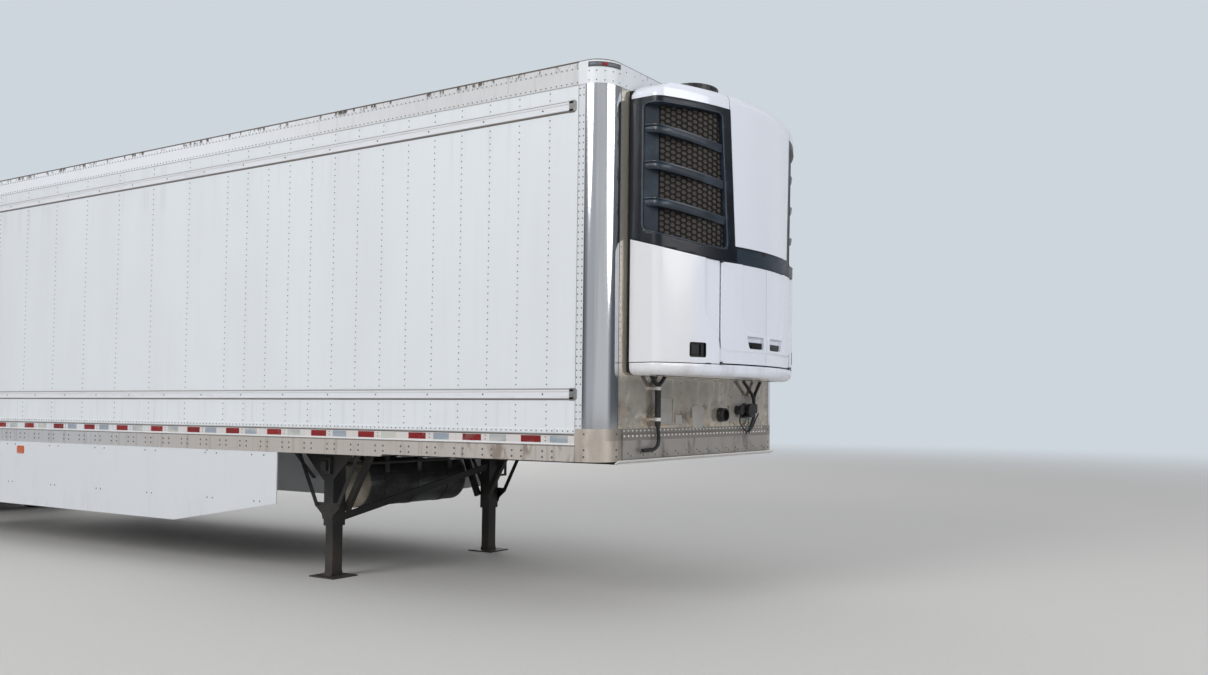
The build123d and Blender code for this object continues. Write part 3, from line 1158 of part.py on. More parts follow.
def unit_grille():
    """Black bezel round both front corners with four openings a side, their curved louvres and the band."""
    top = UNIT_CAP_BOTTOM
    shell = unit_shell(0, UNIT_SHELL_T, BAND_LOW, top)
    wedge = centre_wedge(CENTRE_PANEL_LOW_Y + PANEL_SEAM, CENTRE_PANEL_HIGH_Y + PANEL_SEAM, BAND_HIGH, top)
    bezel = (shell & above_band(0, top)) - wedge
    opening = above_band(WINDOW_LOW_RISE, WINDOW_TOP)
    opening -= block(UNIT_BACK_X, UNIT_BACK_X + WINDOW_STILE, -HALF, HALF, BAND_LOW, top)
    opening -= centre_wedge(
        CENTRE_PANEL_LOW_Y + WINDOW_MULLION, CENTRE_PANEL_HIGH_Y + WINDOW_MULLION, BAND_LOW, top
    )
    bezel -= opening
    x0, x1 = UNIT_BACK_X + WINDOW_STILE / 2, UNIT_TIP_X + 10
    blades = []
    mid_drop, end_drop = LOUVRE_DROPS
    x_mid, x_end = NOSE_X + LOUVRE_STATIONS[0], NOSE_X + LOUVRE_STATIONS[1]
    wall = unit_shell(LOUVRE_INSET, LOUVRE_DEPTH, BAND_LOW, top)
    middle = centre_wedge(
        CENTRE_PANEL_LOW_Y + WINDOW_MULLION / 2, CENTRE_PANEL_HIGH_Y + WINDOW_MULLION / 2, BAND_LOW, top
    )
    for z in LOUVRE_TOPS:
        low = z - LOUVRE_H
        y0 = -UNIT_HALF - 1
        line = (
            ThreePointArc((x0, y0, z), (x_mid, y0, z - mid_drop), (x_end, y0, z - end_drop))
            + Line((x_end, y0, z - end_drop), (x_end, y0, low - end_drop))
            + ThreePointArc((x_end, y0, low - end_drop), (x_mid, y0, low - mid_drop), (x0, y0, low))
            + Line((x0, y0, low), (x0, y0, z))
        )
        band = extrude(make_face(line), 2 * UNIT_HALF + 2, dir=(0, 1, 0))
        blades.append((wall & band) - middle)
    x, y, r = unit_hinge_x(), UNIT_HINGE_Y, UNIT_HINGE_R
    lug = rod((x, y, BAND_LOW), (x, y, BAND_LOW + UNIT_HINGE_LUG_H), r)
    lug += block(x - UNIT_HINGE_OFF - UNIT_LUG_ROOT, x, y - r, y + r, BAND_LOW, BAND_LOW + UNIT_HINGE_LUG_H)
    pin_foot = BAND_LOW - UNIT_PANEL_GAP - UNIT_HINGE_LUG_H
    lug += rod((x, y, pin_foot), (x, y, BAND_LOW + 1), UNIT_HINGE_PIN_R)
    save("unit_grille", bezel + blades + both_sides(lug))


def unit_mesh():
    """Guard mesh behind the louvres, kept as a plain curved sheet on each side."""
    z0, z1 = BAND_LOW + WINDOW_LOW_RISE, WINDOW_TOP
    sheet = unit_shell(LOUVRE_INSET + LOUVRE_DEPTH + MESH_GAP, MESH_T, z0, z1)
    middle = centre_wedge(CENTRE_PANEL_LOW_Y + MESH_LAP, CENTRE_PANEL_HIGH_Y + MESH_LAP, z0, z1)
    save("unit_mesh", sheet - middle)


def unit_coil():
    """Condenser coil behind each guard mesh."""
    z0, z1 = BAND_LOW + WINDOW_LOW_RISE + COIL_RISE, WINDOW_TOP - COIL_DROP
    sheet = unit_shell(LOUVRE_INSET + LOUVRE_DEPTH + MESH_T + COIL_GAP, COIL_T, z0, z1)
    middle = centre_wedge(CENTRE_PANEL_LOW_Y + COIL_LAP, CENTRE_PANEL_HIGH_Y + COIL_LAP, z0, z1)
    save("unit_coil", sheet - middle)


def unit_side_panels():
    """Plain lower side panels that wrap the front corners, from the back plate to the front doors."""
    z0 = UNIT_TRAY_Z + UNIT_TRAY_H + UNIT_PANEL_GAP
    shell = unit_shell(0, UNIT_SHELL_T, z0, BAND_HIGH)
    shell &= below_band(z0, PANEL_SEAM)
    y = UNIT_DOOR_HALF + UNIT_DOOR_SIDE_GAP
    save("unit_side_panels", shell - block(UNIT_BACK_X, UNIT_TIP_X + 10, -y, y, z0, BAND_HIGH))


def unit_doors():
    """Front doors of the unit, meeting in the middle, with lugs for their pivots."""
    z0 = UNIT_TRAY_Z + UNIT_TRAY_H + 2 * UNIT_PANEL_GAP
    z1 = BAND_LOW - UNIT_PANEL_GAP
    shell = unit_shell(0, UNIT_SHELL_T, z0, z1)
    keep = block(UNIT_BACK_X, UNIT_TIP_X + 10, UNIT_DOOR_MEET, UNIT_DOOR_HALF, z0, z1)
    left = shell & keep
    x, y = unit_hinge_x(), UNIT_HINGE_Y
    root_x, (y_far, y_near) = x - UNIT_HINGE_OFF - UNIT_DOOR_LUG_ROOT, UNIT_DOOR_LUG_Y
    for low in (z0, z1 - UNIT_HINGE_LUG_H):
        high = low + UNIT_HINGE_LUG_H
        left += rod((x, y, low), (x, y, high), UNIT_HINGE_R)
        left += block(root_x, x, y - y_far, y - y_near, low, high)
        left -= bore((x, y, low - 1), (x, y, high + 1), UNIT_HINGE_PIN_R + UNIT_HINGE_CLEAR)
    save("unit_door_left", left)
    save("unit_door_right", *mirrored(left))


def unit_hinge_x():
    """X of the unit doors' pivots, just outside the bowed front."""
    return UNIT_CENTRE_X + sqrt(UNIT_FRONT_R**2 - UNIT_HINGE_Y**2) + UNIT_HINGE_OFF


def unit_tray():
    """Bottom tray with a rounded lower edge, and the lower pivot lugs of the front doors."""
    z0, z1 = UNIT_TRAY_Z, UNIT_TRAY_Z + UNIT_TRAY_H
    tray = unit_plan(UNIT_TRAY_INSET, z0, z1)
    bottom = tray.faces().sort_by(Axis.Z)[0]
    edges = [e for e in bottom.edges() if e.center().X > UNIT_BACK_X + 1]
    tray = chamfer(edges, UNIT_TRAY_R)
    tray -= unit_plan(UNIT_TRAY_RIM, z0 + UNIT_SHELL_T / 2, z1)
    x, y = unit_hinge_x(), UNIT_HINGE_Y
    lug_foot, lug_top = z1 - UNIT_TRAY_LUG_H, z1 + UNIT_PANEL_GAP / 2
    root_x = x - UNIT_HINGE_OFF - UNIT_TRAY_LUG_ROOT
    lug = rod((x, y, lug_foot), (x, y, lug_top), UNIT_HINGE_R)
    lug += block(root_x, x, y - UNIT_HINGE_R, y + UNIT_HINGE_R, lug_foot, lug_top)
    pin_top = z1 + 2 * UNIT_PANEL_GAP + UNIT_HINGE_LUG_H
    lug += rod((x, y, lug_top - 1), (x, y, pin_top), UNIT_HINGE_PIN_R)
    save("unit_tray", tray + both_sides(lug))


def unit_frame():
    """Back plate against the nose wall, two decks, and posts for the front panels and upper door pivots."""
    z0, z1 = UNIT_TRAY_Z + UNIT_PLATE_RISE, TOP_RAIL_BOTTOM - UNIT_PLATE_TOP_GAP
    y = UNIT_HALF - UNIT_PLATE_INSET
    frame = block(NOSE_X, UNIT_BACK_X, -y, y, z0, z1)
    for z in UNIT_DECK_Z:
        frame += unit_plan(UNIT_DECK_INSET, z, z + UNIT_DECK_T)
    low, high = UNIT_DECK_Z
    for side in (-1, 1):
        y0 = UNIT_DOOR_HALF + UNIT_DOOR_SIDE_GAP + UNIT_POST_SIDE
        y1 = y0 + UNIT_POST_W
        x1 = UNIT_CENTRE_X + sqrt(UNIT_FRONT_R**2 - y1**2) - UNIT_SHELL_T - UNIT_POST_GAP
        frame += block(x1 - UNIT_POST_W, x1, side * y0, side * y1, low, high)
    save("unit_frame", frame)


def unit_engine():
    """The diesel engine and compressor as one plain block on the lower deck."""
    x, z = NOSE_X + ENGINE_STATION, UNIT_DECK_Z[0] + UNIT_DECK_T
    half = ENGINE_LENGTH / 2
    save("unit_engine", block(x - half, x + half, -ENGINE_WIDTH / 2, ENGINE_WIDTH / 2, z, z + ENGINE_HEIGHT))


def unit_fans():
    """Two round fan shrouds in the top of the unit, each with a hub and blades."""
    fans = []
    z0, z1 = UNIT_CAP_BOTTOM, UNIT_TOP_Z + FAN_RING_H
    x, y = NOSE_X + FAN_STATION, FAN_Y
    outer = FAN_R + FAN_RING_T
    ring = Pos(x, y, 0) * turned([(FAN_R, z0), (outer, z0), (outer, z1), (FAN_R, z1)], ROUND_SIDES)
    hub_z = z0 + FAN_HUB_Z
    hub = rod((x, y, hub_z), (x, y, hub_z + FAN_HUB_H), FAN_HUB_R)
    for i in range(FAN_BLADES):
        turn = Pos(x, y, hub_z + FAN_HUB_H / 2) * Rot(0, 0, 360 / FAN_BLADES * i)
        pitch = Pos((FAN_HUB_R + FAN_R) / 2, 0, 0) * Rot(FAN_BLADE_TWIST, 0, 0)
        hub += turn * pitch * Box(FAN_R - FAN_HUB_R + FAN_BLADE_LAP, FAN_BLADE_W, FAN_BLADE_T)
    fans += both_sides(ring + hub)
    save("unit_fans", *fans)


def evaporator():
    """Evaporator housing inside the load space, its underside sloped for the air return."""
    z0, z1 = TOP_RAIL_BOTTOM - EVAPORATOR_H, TOP_RAIL_BOTTOM
    x, back = aft(FRONT_WALL_T), aft(FRONT_WALL_T + EVAPORATOR_DEPTH)
    outline = ((x, z0), (x, z1), (back, z1), (back, z0 + EVAPORATOR_SLOPE_Z), (x - EVAPORATOR_SLOPE_X, z0))
    save("evaporator", along_y(outline, -EVAPORATOR_HALF, EVAPORATOR_HALF))


# Nose furniture


def nose_hoses():
    """Drain hoses that join in a Y, and the pair of lines that joins above the sockets."""
    x, top = NOSE_X + HOSE_STANDOFF, UNIT_TRAY_Z - HOSE_TOP_GAP
    y, z = DRAIN_TEE
    drain = hose([(x, *p) for p in DRAIN_ROUTE], DRAIN_BENDS, HOSE_TAIL_R)
    drain += rod((x, y, z + DRAIN_RISE), (x, *DRAIN_ROUTE[1]), HOSE_R)
    for side in (-1, 1):
        drain += rod((x, y + side * DRAIN_SPREAD, top), (x, y, z), HOSE_TAIL_R)
    lines = hose([(x, *p) for p in LINE_ROUTE], LINE_BENDS, HOSE_TAIL_R)
    for head in LINE_HEADS:
        lines += rod((x, head, top + HOSE_TRIM_RISE), (x, *LINE_TEE), HOSE_TAIL_R)
    trim = block(x - HOSE_STANDOFF, x + HOSE_STANDOFF, -HALF, HALF, FRAME_BOTTOM, top)
    save("nose_hoses", drain & trim, lines & trim)


def nose_fittings():
    """Document holder, electrical sockets and their plate, hose clips and the round port."""
    x, wall = NOSE_X, HOLDER_WALL
    (y0, y1), (z0, z1) = HOLDER_Y, HOLDER_Z
    holder = block(x, x + HOLDER_T, y0, y1, z0, z1)
    holder -= block(x + HOLDER_BACK_T, x + HOLDER_T + 1, y0 + wall, y1 - wall, z0 + wall, z1 - wall)
    y, z = PORT_PLACE
    port = rod((x, y, z), (x + PORT_L, y, z), PORT_R)
    port -= rod((x + PORT_BASE, y, z), (x + PORT_L + 1, y, z), PORT_R - PORT_WALL)
    plate_x = x + SOCKET_PLATE_T
    plate = block(x, plate_x, *SOCKET_PLATE_Y, *SOCKET_PLATE_Z)
    for (y, z), radius, reach in SOCKETS:
        plate += rod((plate_x, y, z), (plate_x + reach, y, z), radius)
    y, w = DRAIN_TEE[0], CLIP_W / 2
    clips = [block(x, x + HOSE_STANDOFF - HOSE_R, y - w, y + w, z, z + CLIP_H) for z in CLIP_HEIGHTS]
    save("nose_fittings", holder, port, plate, *clips)


for make in (
    floor, side_walls, roof, front_wall, nose_corners, nose_header, nose_sill, bottom_rails, top_rails,
    rub_rails,
    coupler_plate, kingpin, cross_members, landing_legs, landing_braces, fuel_tank, skirts, skirt_struts,
    slide_rails, bogie_frame, trailing_arms, axles, air_springs, shock_absorbers, air_tanks, wheel_ends,
    rear_posts, rear_header, rear_sill, rear_doors, dock_bumpers, rear_guard, mud_flaps, lamps,
    unit_cowl, unit_grille, unit_mesh, unit_coil, unit_side_panels, unit_doors, unit_tray, unit_frame,
    unit_engine, unit_fans, evaporator, nose_hoses, nose_fittings,
):
    make()
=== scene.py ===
from math import asin, cos, hypot, pi, radians, sin

import bmesh
import bpy
import numpy as np
from mathutils import Matrix, Vector


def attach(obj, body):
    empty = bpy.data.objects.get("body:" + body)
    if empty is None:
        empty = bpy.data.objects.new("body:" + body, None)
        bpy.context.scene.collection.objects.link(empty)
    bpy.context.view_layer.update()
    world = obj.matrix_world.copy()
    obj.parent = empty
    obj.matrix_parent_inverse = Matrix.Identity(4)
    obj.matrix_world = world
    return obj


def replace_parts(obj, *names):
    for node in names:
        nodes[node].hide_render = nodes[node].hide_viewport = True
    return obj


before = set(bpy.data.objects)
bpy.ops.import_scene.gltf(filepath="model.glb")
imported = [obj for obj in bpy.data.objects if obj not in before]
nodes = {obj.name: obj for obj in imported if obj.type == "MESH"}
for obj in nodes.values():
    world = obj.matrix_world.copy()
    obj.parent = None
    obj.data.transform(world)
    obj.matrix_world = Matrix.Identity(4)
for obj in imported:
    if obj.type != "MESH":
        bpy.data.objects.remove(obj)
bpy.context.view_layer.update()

# Camera: at standing height off the nose's right-hand corner, looking back along the trailer's right side.


def placed(name, data):
    """A new object of the scene, at the origin."""
    made = bpy.data.objects.new(name, data)
    bpy.context.scene.collection.objects.link(made)
    return made


optics = bpy.data.cameras.new("camera")
optics.sensor_width = 36
optics.lens = 29.06
optics.shift_x, optics.shift_y = -0.161, 0.036
optics.clip_start, optics.clip_end = 0.05, 400
camera = placed("camera", optics)
camera.matrix_world = (
    Matrix.Translation((12.350, -6.837, 1.551))
    @ Matrix.Rotation(radians(27.9), 4, "Z")
    @ Matrix.Rotation(radians(91.6), 4, "X")
    @ Matrix.Rotation(radians(0.36), 4, "Z")
)
bpy.context.scene.camera = camera
bpy.context.scene.view_settings.view_transform = "Standard"


# Studio: a pale floor that runs out into a pale grey-blue surround, a broad soft lamp on the camera's side and
# an even sky, so that paint shows about the colour it is given.


class Wire:
    """One shader socket. Arithmetic on it adds Math nodes, and node() adds a node of any other kind."""

    def __init__(self, tree, socket=None):
        self.tree, self.socket = tree, socket

    def node(self, kind, settings=None, inputs=None, out=0):
        made = self.tree.nodes.new("ShaderNode" + kind)
        for name, value in (settings or {}).items():
            setattr(made, name, value)
        for name, value in (inputs or {}).items():
            if isinstance(value, Wire):
                self.tree.links.new(value.socket, made.inputs[name])
            else:
                made.inputs[name].default_value = value
        return Wire(self.tree, made.outputs[out] if len(made.outputs) else None)

    def math(self, operation, first, second=0.0):
        return self.node("Math", {"operation": operation}, {0: first, 1: second})

    def __add__(self, other):
        return self.math("ADD", self, other)

    def __sub__(self, other):
        return self.math("SUBTRACT", self, other)

    def __rsub__(self, other):
        return self.math("SUBTRACT", other, self)

    def __mul__(self, other):
        return self.math("MULTIPLY", self, other)

    def __truediv__(self, other):
        return self.math("DIVIDE", self, other)

    def __mod__(self, other):
        return self.math("FLOORED_MODULO", self, other)

    def __abs__(self):
        return self.math("ABSOLUTE", self)

    def __or__(self, other):
        """The greater of two masks."""
        return self.math("MAXIMUM", self, other)

    __radd__, __rmul__ = __add__, __mul__


def ramp_up(value, low, high):
    """0 below low, 1 above high, and smooth between. With low above high it falls instead."""
    return value.node(
        "MapRange",
        {"interpolation_type": "SMOOTHSTEP"},
        {"Value": value, "From Min": low, "From Max": high},
    )


def over(mask, under, top):
    """The top colour laid over the other where the mask is 1."""
    return mask.node("Mix", {"data_type": "RGBA"}, {0: mask, 6: under, 7: top}, out=2)


def axis(place, which):
    """One coordinate of a place: 0 runs forward, 1 to the left and 2 up."""
    return place.node("SeparateXYZ", inputs={0: place}, out=which)


def rgb(red, green, blue):
    """A colour of a screen's 0 to 255 steps, as the light that the shader needs."""
    steps = [c / 255 for c in (red, green, blue)]
    return (*[c / 12.92 if c <= 0.04045 else ((c + 0.055) / 1.055) ** 2.4 for c in steps], 1)


def new_material(name):
    """A material with an empty tree, and the wire of its place in metres on the trailer."""
    made = bpy.data.materials.new(name)
    made.use_nodes = True
    made.node_tree.nodes.clear()
    return made, Wire(made.node_tree).node("TexCoord", out=3)


SURROUND = rgb(206, 214, 221)
FLOOR_PAINT, FLOOR_GRAIN = rgb(208, 206, 202), rgb(200, 198, 195)
SKY, DARK_SKY = (0.93, 0.96, 1.0, 1), (0.16, 0.18, 0.21, 1)
SKY_STRENGTH = 0.60
FLOOR_REACH = 90

backdrop = bpy.data.worlds.new("studio")
backdrop.use_nodes = True
backdrop.node_tree.nodes.clear()
start = Wire(backdrop.node_tree)
seen = start.node("LightPath") | start.node("LightPath", out=6)
way = start.node("TexCoord")
turned = axis(way, 0) * 0.86 + axis(way, 1) * 0.50
dark_side = ramp_up(abs(turned), 0.72, 0.95) * ramp_up(axis(way, 2), 0.55, 0.10)
sky = start.node("Background", inputs={"Color": over(dark_side, SKY, DARK_SKY), "Strength": SKY_STRENGTH})
shown = start.node("Background", inputs={"Color": SURROUND, "Strength": 1.0})
start.node("OutputWorld", inputs={"Surface": seen.node("MixShader", inputs={0: seen, 1: sky, 2: shown})})
bpy.context.scene.world = backdrop

floor_mesh = bpy.data.meshes.new("studio_floor")
floor_corners = [(FLOOR_REACH * x, FLOOR_REACH * y, 0) for x, y in ((-1, -1), (1, -1), (1, 1), (-1, 1))]
floor_mesh.from_pydata(floor_corners, [], [(0, 1, 2, 3)])
placed("studio_floor", floor_mesh)
floor_paint, place = new_material("studio_floor")
away = place.node("VectorMath", {"operation": "LENGTH"}, {0: place}, out=1)
seen = place.node("LightPath")
grain = place.node("TexNoise", inputs={"Vector": place, "Scale": 30.0, "Detail": 8.0})
ground = place.node(
    "BsdfPrincipled", inputs={"Base Color": over(grain, FLOOR_PAINT, FLOOR_GRAIN), "Roughness": 0.85}
)
far = place.node("Emission", inputs={"Color": SURROUND, "Strength": 1.0})
mixed = place.node("MixShader", inputs={0: ramp_up(away, 14.0, 34.0) * seen, 1: ground, 2: far})
place.node("OutputMaterial", inputs={0: mixed})
floor_mesh.materials.append(floor_paint)

for name, position, target, size, power in (
    ("key", (1.0, -21.0, 14.0), (0.0, 0.0, 1.5), 14.0, 2600),
    ("fill", (24.0, -3.0, 9.0), (6.0, 0.0, 2.0), 10.0, 980),
    ("back", (-16.0, 12.0, 10.0), (0.0, 0.0, 2.0), 12.0, 1300),
):
    lamp = bpy.data.lights.new(name, "AREA")
    lamp.shape, lamp.size, lamp.energy = "DISK", size, power
    holder = placed(name, lamp)
    holder.location = position
    holder.rotation_euler = (Vector(target) - Vector(position)).to_track_quat("-Z", "Y").to_euler()


# Side walls and roof: white-painted aluminium sheet over foam, pulled slightly hollow between the rows of rivets
# that hold it to the posts every foot, with rain streaks under the seams and road dirt along the foot.

NOSE, REAR = 7.814, -8.340
SIDE, PLATE, HALF = 1.290, 1.295, 1.300
POST_PITCH = 0.3048
FIRST_POST = NOSE - 0.528
WHITE_PAINT = rgb(228, 232, 236)
DIRT = rgb(122, 112, 100)


def finish(made, place, colour, roughness, settings=None, height=None, depth=0.001):
    """Join the surface's values to its shader, with a bump of the given depth where there is a height."""
    values = {"Base Color": colour, "Roughness": roughness, **(settings or {})}
    if height is not None:
        values["Normal"] = height.node("Bump", inputs={"Height": height, "Distance": depth, "Strength": 1.0})
    place.node("OutputMaterial", inputs={0: place.node("BsdfPrincipled", inputs=values)})
    return made


def noise(place, scale, detail=4.0, rough=0.55, stretch=None):
    """Cloudy noise of the given scale, stretched by a factor along each axis."""
    if stretch:
        place = place.node("VectorMath", {"operation": "MULTIPLY"}, {0: place, 1: stretch})
    return place.node("TexNoise", inputs={"Vector": place, "Scale": scale, "Detail": detail, "Roughness": rough})


def streaks(place, fine=16.0):
    """Rain streaks, narrow across and long down the wall."""
    return ramp_up(noise(place, 1.0, 5.0, 0.6, (fine, fine, 0.7)), 0.50, 0.72)


def dress(node_names, made):
    """Give carried-over nodes their material."""
    for name in node_names:
        mesh = nodes[name].data
        mesh.materials.clear()
        mesh.materials.append(made)
        mesh.polygons.foreach_set("material_index", [0] * len(mesh.polygons))


panel_paint, place = new_material("panel_white")
up = axis(place, 2)
bay = abs((FIRST_POST - axis(place, 0)) % POST_PITCH / POST_PITCH - 0.5)
hollow = ramp_up(bay, 0.5, 0.30)
foot = ramp_up(up, 1.62, 1.38)
under_roof = ramp_up(up, 3.30, 3.93)
under_rub = ramp_up(abs(up - 1.54), 0.16, 0.02) | ramp_up(abs(up - 3.60), 0.16, 0.06)
rain = streaks(place)
clouds = ramp_up(noise(place, 1.0, 5.0, 0.55, (1.3, 1.3, 0.45)), 0.35, 0.70)
darker_share = rain * (0.02 + 0.08 * foot + 0.07 * under_roof + 0.05 * under_rub) + 0.05 * clouds
finish(
    panel_paint, place, over(darker_share, WHITE_PAINT, DIRT), 0.34 + 0.25 * darker_share,
    {"Coat Weight": 0.15, "Coat Roughness": 0.2}, hollow + 0.5 * noise(place, 3.0), 0.0008,
)
dress(("side_wall_left", "side_wall_right"), panel_paint)

roof_paint, place = new_material("roof_white")
crossing = abs(axis(place, 0) % (2 * POST_PITCH) / (2 * POST_PITCH) - 0.5)
pooled = ramp_up(noise(place, 1.0, 6.0, 0.6, (0.8, 2.2, 1.0)), 0.36, 0.74)
finish(
    roof_paint, place, over(0.20 * pooled, rgb(216, 219, 221), rgb(146, 138, 126)), 0.50 + 0.1 * pooled,
    height=ramp_up(crossing, 0.40, 0.47) + 0.3 * noise(place, 2.0), depth=0.003,
)
dress(("roof",), roof_paint)


# Rivets: domed aluminium heads at two inches, in rows down every side post, along the rails and round the nose.

RIVET_R, RIVET_SIDES, RIVET_PITCH = 0.0062, 6, 0.0508
SEAM_FOOT, SEAM_TOP = 1.391, 3.928


def mottled(name, scale, under, top, roughness, settings=None, bump=None, depth=0.001, detail=4.0):
    """A finish that drifts between two colours, with a fine bump of its own."""
    made, place = new_material(name)
    height = noise(place, bump) if bump else None
    return finish(made, place, over(noise(place, scale, detail), under, top), roughness, settings, height, depth)


def piece(name, vertices, faces, made, body="trailer", slot=None, smooth=True):
    """A mesh object of the trailer, riding on its body."""
    mesh = bpy.data.meshes.new(name)
    mesh.from_pydata([tuple(v) for v in vertices], [], [tuple(int(i) for i in f) for f in faces])
    mesh.polygons.foreach_set("use_smooth", [smooth] * len(mesh.polygons))
    mesh.materials.append(made)
    made_object = placed(name, mesh)
    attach(made_object, body)
    return made_object


def domes(places, outward, radius, height=None, sides=RIVET_SIDES):
    """Vertices and faces of low domes at the given places, all facing one way or each its own."""
    height = height or radius * 0.55
    places = np.asarray(places, float)
    out = np.broadcast_to(np.asarray(outward, float), places.shape)
    out = out / np.linalg.norm(out, axis=1)[:, None]
    helper = np.where(abs(out[:, 2:]) < 0.9, [[0.0, 0.0, 1.0]], [[1.0, 0.0, 0.0]])
    across = np.cross(helper, out)
    across /= np.linalg.norm(across, axis=1)[:, None]
    along = np.cross(out, across)
    rings = []
    for share, lift in ((1.0, 0.0), (0.72, 0.8), (0.0, 1.0)):
        for a in [2 * pi * i / sides for i in range(sides)] if share else [0.0]:
            rings.append(places + (across * cos(a) + along * sin(a)) * radius * share + out * height * lift)
    vertices = np.stack(rings, 1).reshape(-1, 3)
    faces = []
    for base in range(0, len(vertices), 2 * sides + 1):
        for i in range(sides):
            j = (i + 1) % sides
            faces.append((base + i, base + j, base + sides + j, base + sides + i))
            faces.append((base + sides + i, base + sides + j, base + 2 * sides))
    return vertices, faces


def joined(parts):
    """Several (vertices, faces) as one."""
    vertices, faces, base = [], [], 0
    for some_vertices, some_faces in parts:
        vertices.append(np.asarray(some_vertices, float))
        faces += [[base + i for i in face] for face in some_faces]
        base += len(some_vertices)
    return np.concatenate(vertices), faces


def mirrored(part):
    """(vertices, faces) on the other side of the trailer."""
    vertices, faces = part
    return np.asarray(vertices, float) * (1, -1, 1), [list(reversed(face)) for face in faces]


def both(*parts):
    """The parts of one side and their mirror images."""
    side = joined(parts)
    return joined([side, mirrored(side)])


def row(start, end, pitch):
    """Evenly spaced numbers from start to no further than end."""
    return start + pitch * np.arange(int(abs(end - start) / abs(pitch) + 1e-6) + 1)


# The heads are painted a dark grey that stands partly for the small shadows round them, as painted shade, and
# partly for dirt.
rivet_metal_shade_and_dirt = mottled(
    "rivet_heads", 40.0, rgb(112, 115, 120), rgb(74, 72, 70), 0.42, {"Metallic": 0.35}, 160.0, 0.0002
)
post_columns = [FIRST_POST - POST_PITCH * k for k in range(14)]
post_columns += list(row(post_columns[-1] - 2 * POST_PITCH, REAR + 0.20, -2 * POST_PITCH))
heights = [z for z in row(1.412, 3.915, RIVET_PITCH) if not (1.585 < z < 1.700 or 3.720 < z < 3.836)]
rail_row = row(NOSE - 0.262, REAR + 0.14, -RIVET_PITCH)
for name, places in (
    ("rivets_posts", [(x, -SIDE, z) for x in post_columns for z in heights]),
    ("rivets_rails", [(x, -PLATE, z) for x in rail_row for z in (1.372, 3.946, 4.052)]),
    ("rivets_corner_seams", [(x, -SIDE, z) for x in (NOSE - 0.240, NOSE - 0.203) for z in heights]),
):
    piece(name, *both(domes(places, (0, -1, 0), RIVET_R)), rivet_metal_shade_and_dirt, slot="rail_white")


# Rails along the top and foot of the walls: extruded aluminium. The lower one has a bare grey plate, a bright
# ledge and a white upper leg that carries the reflecting tape, and the upper one is stained under the roof edge.

rail_paint, place = new_material("bottom_rail")
up = axis(place, 2)
white_leg = ramp_up(up, 1.283, 1.285)
rain = streaks(place, 22.0)
near_nose = ramp_up(axis(place, 0), NOSE - 3.0, NOSE - 0.8)
rust = near_nose * ramp_up(noise(place, 1.0, 5.0, 0.6, (9.0, 9.0, 3.0)), 0.50, 0.66)
far_back = ramp_up(axis(place, 0), NOSE - 4.5, NOSE - 7.0)
plate = over(far_back, rgb(198, 191, 185), rgb(199, 199, 202))
plate = over(0.08 + 0.30 * rain | 0.75 * rust, plate, over(far_back, rgb(122, 104, 92), rgb(118, 116, 116)))
leg = over(far_back, rgb(216, 211, 209), rgb(218, 221, 226))
leg = over(0.18 * rain + 0.12 * noise(place, 5.0), over(ramp_up(up, 1.354, 1.358), leg, WHITE_PAINT), DIRT)
ledge = ramp_up(abs(up - 1.276), 0.009, 0.006)
# Painted shadow: a dark line painted under the ledge.
painted_shadow_under_ledge = ramp_up(abs(up - 1.264), 0.006, 0.003)
plate = over(0.65 * painted_shadow_under_ledge, over(ledge, plate, rgb(236, 236, 236)), rgb(84, 78, 74))
finish(
    rail_paint, place, over(white_leg, plate, leg), 0.42 + 0.2 * rain,
    {"Metallic": 0.25 - 0.25 * white_leg}, noise(place, 60.0, stretch=(0.1, 1, 1)), 0.0004,
)
dress(("bottom_rails",), rail_paint)

edge_paint, place = new_material("top_rail")
up = axis(place, 2)
ticks = ramp_up(noise(place, 1.0, 5.0, 0.7, (15.0, 15.0, 5.0)), 0.52, 0.60)
stain = ramp_up(up, 4.088, 4.096) * 0.95 | ticks * ramp_up(up, 4.045, 4.085)
runs = ramp_up(noise(place, 1.0, 6.0, 0.6, (20.0, 20.0, 2.0)), 0.50, 0.70)
seam = ramp_up(abs(up - 3.929), 0.004, 0.001) | 0.6 * ramp_up(abs(up - 4.046), 0.003, 0.001)
far_back = ramp_up(axis(place, 0), NOSE - 0.8, NOSE - 5.5)
greyed = (0.10 + 0.12 * noise(place, 6.0) + 0.14 * runs) * (1.0 - 0.7 * far_back) | 0.6 * seam
edge_white = over(greyed, over(far_back, rgb(222, 223, 225), rgb(236, 239, 244)), rgb(120, 112, 104))
finish(
    edge_paint, place, over(stain, edge_white, rgb(70, 58, 48)), 0.38 + 0.3 * stain,
    height=noise(place, 8.0), depth=0.0006,
)
dress(("top_rails",), edge_paint)

RUB_LOW, RUB_HIGH, RUB_H = 1.599, 3.734, 0.088
rub_paint, place = new_material("rub_rail")
scuff = ramp_up(noise(place, 2.0, 6.0, 0.7, (1.0, 1.0, 9.0)), 0.52, 0.70)
bead = noise(place, 30.0)
up = axis(place, 2)
across_rail = up - RUB_LOW - (RUB_HIGH - RUB_LOW) * ramp_up(up, 2.5, 2.6)
# Painted shade: the dark band along the rail's foot, the dark line along its top edge and the faint line in its
# groove are shade painted into the colour; the scuffs and bead noise are wear.
dark_marks = ramp_up(across_rail, 0.020, 0.010) | 0.85 * ramp_up(across_rail, 0.074, 0.080)
dark_marks = dark_marks | 0.2 * ramp_up(abs(across_rail - 0.060), 0.004, 0.002)
darker_share = 0.90 * dark_marks | 0.16 * scuff + 0.06 * bead
finish(
    rub_paint, place, over(darker_share, rgb(228, 230, 234), rgb(92, 82, 74)), 0.36 + 0.2 * scuff,
    {"Coat Weight": 0.1}, bead, 0.0003,
)
dress(("rub_rails",), rub_paint)

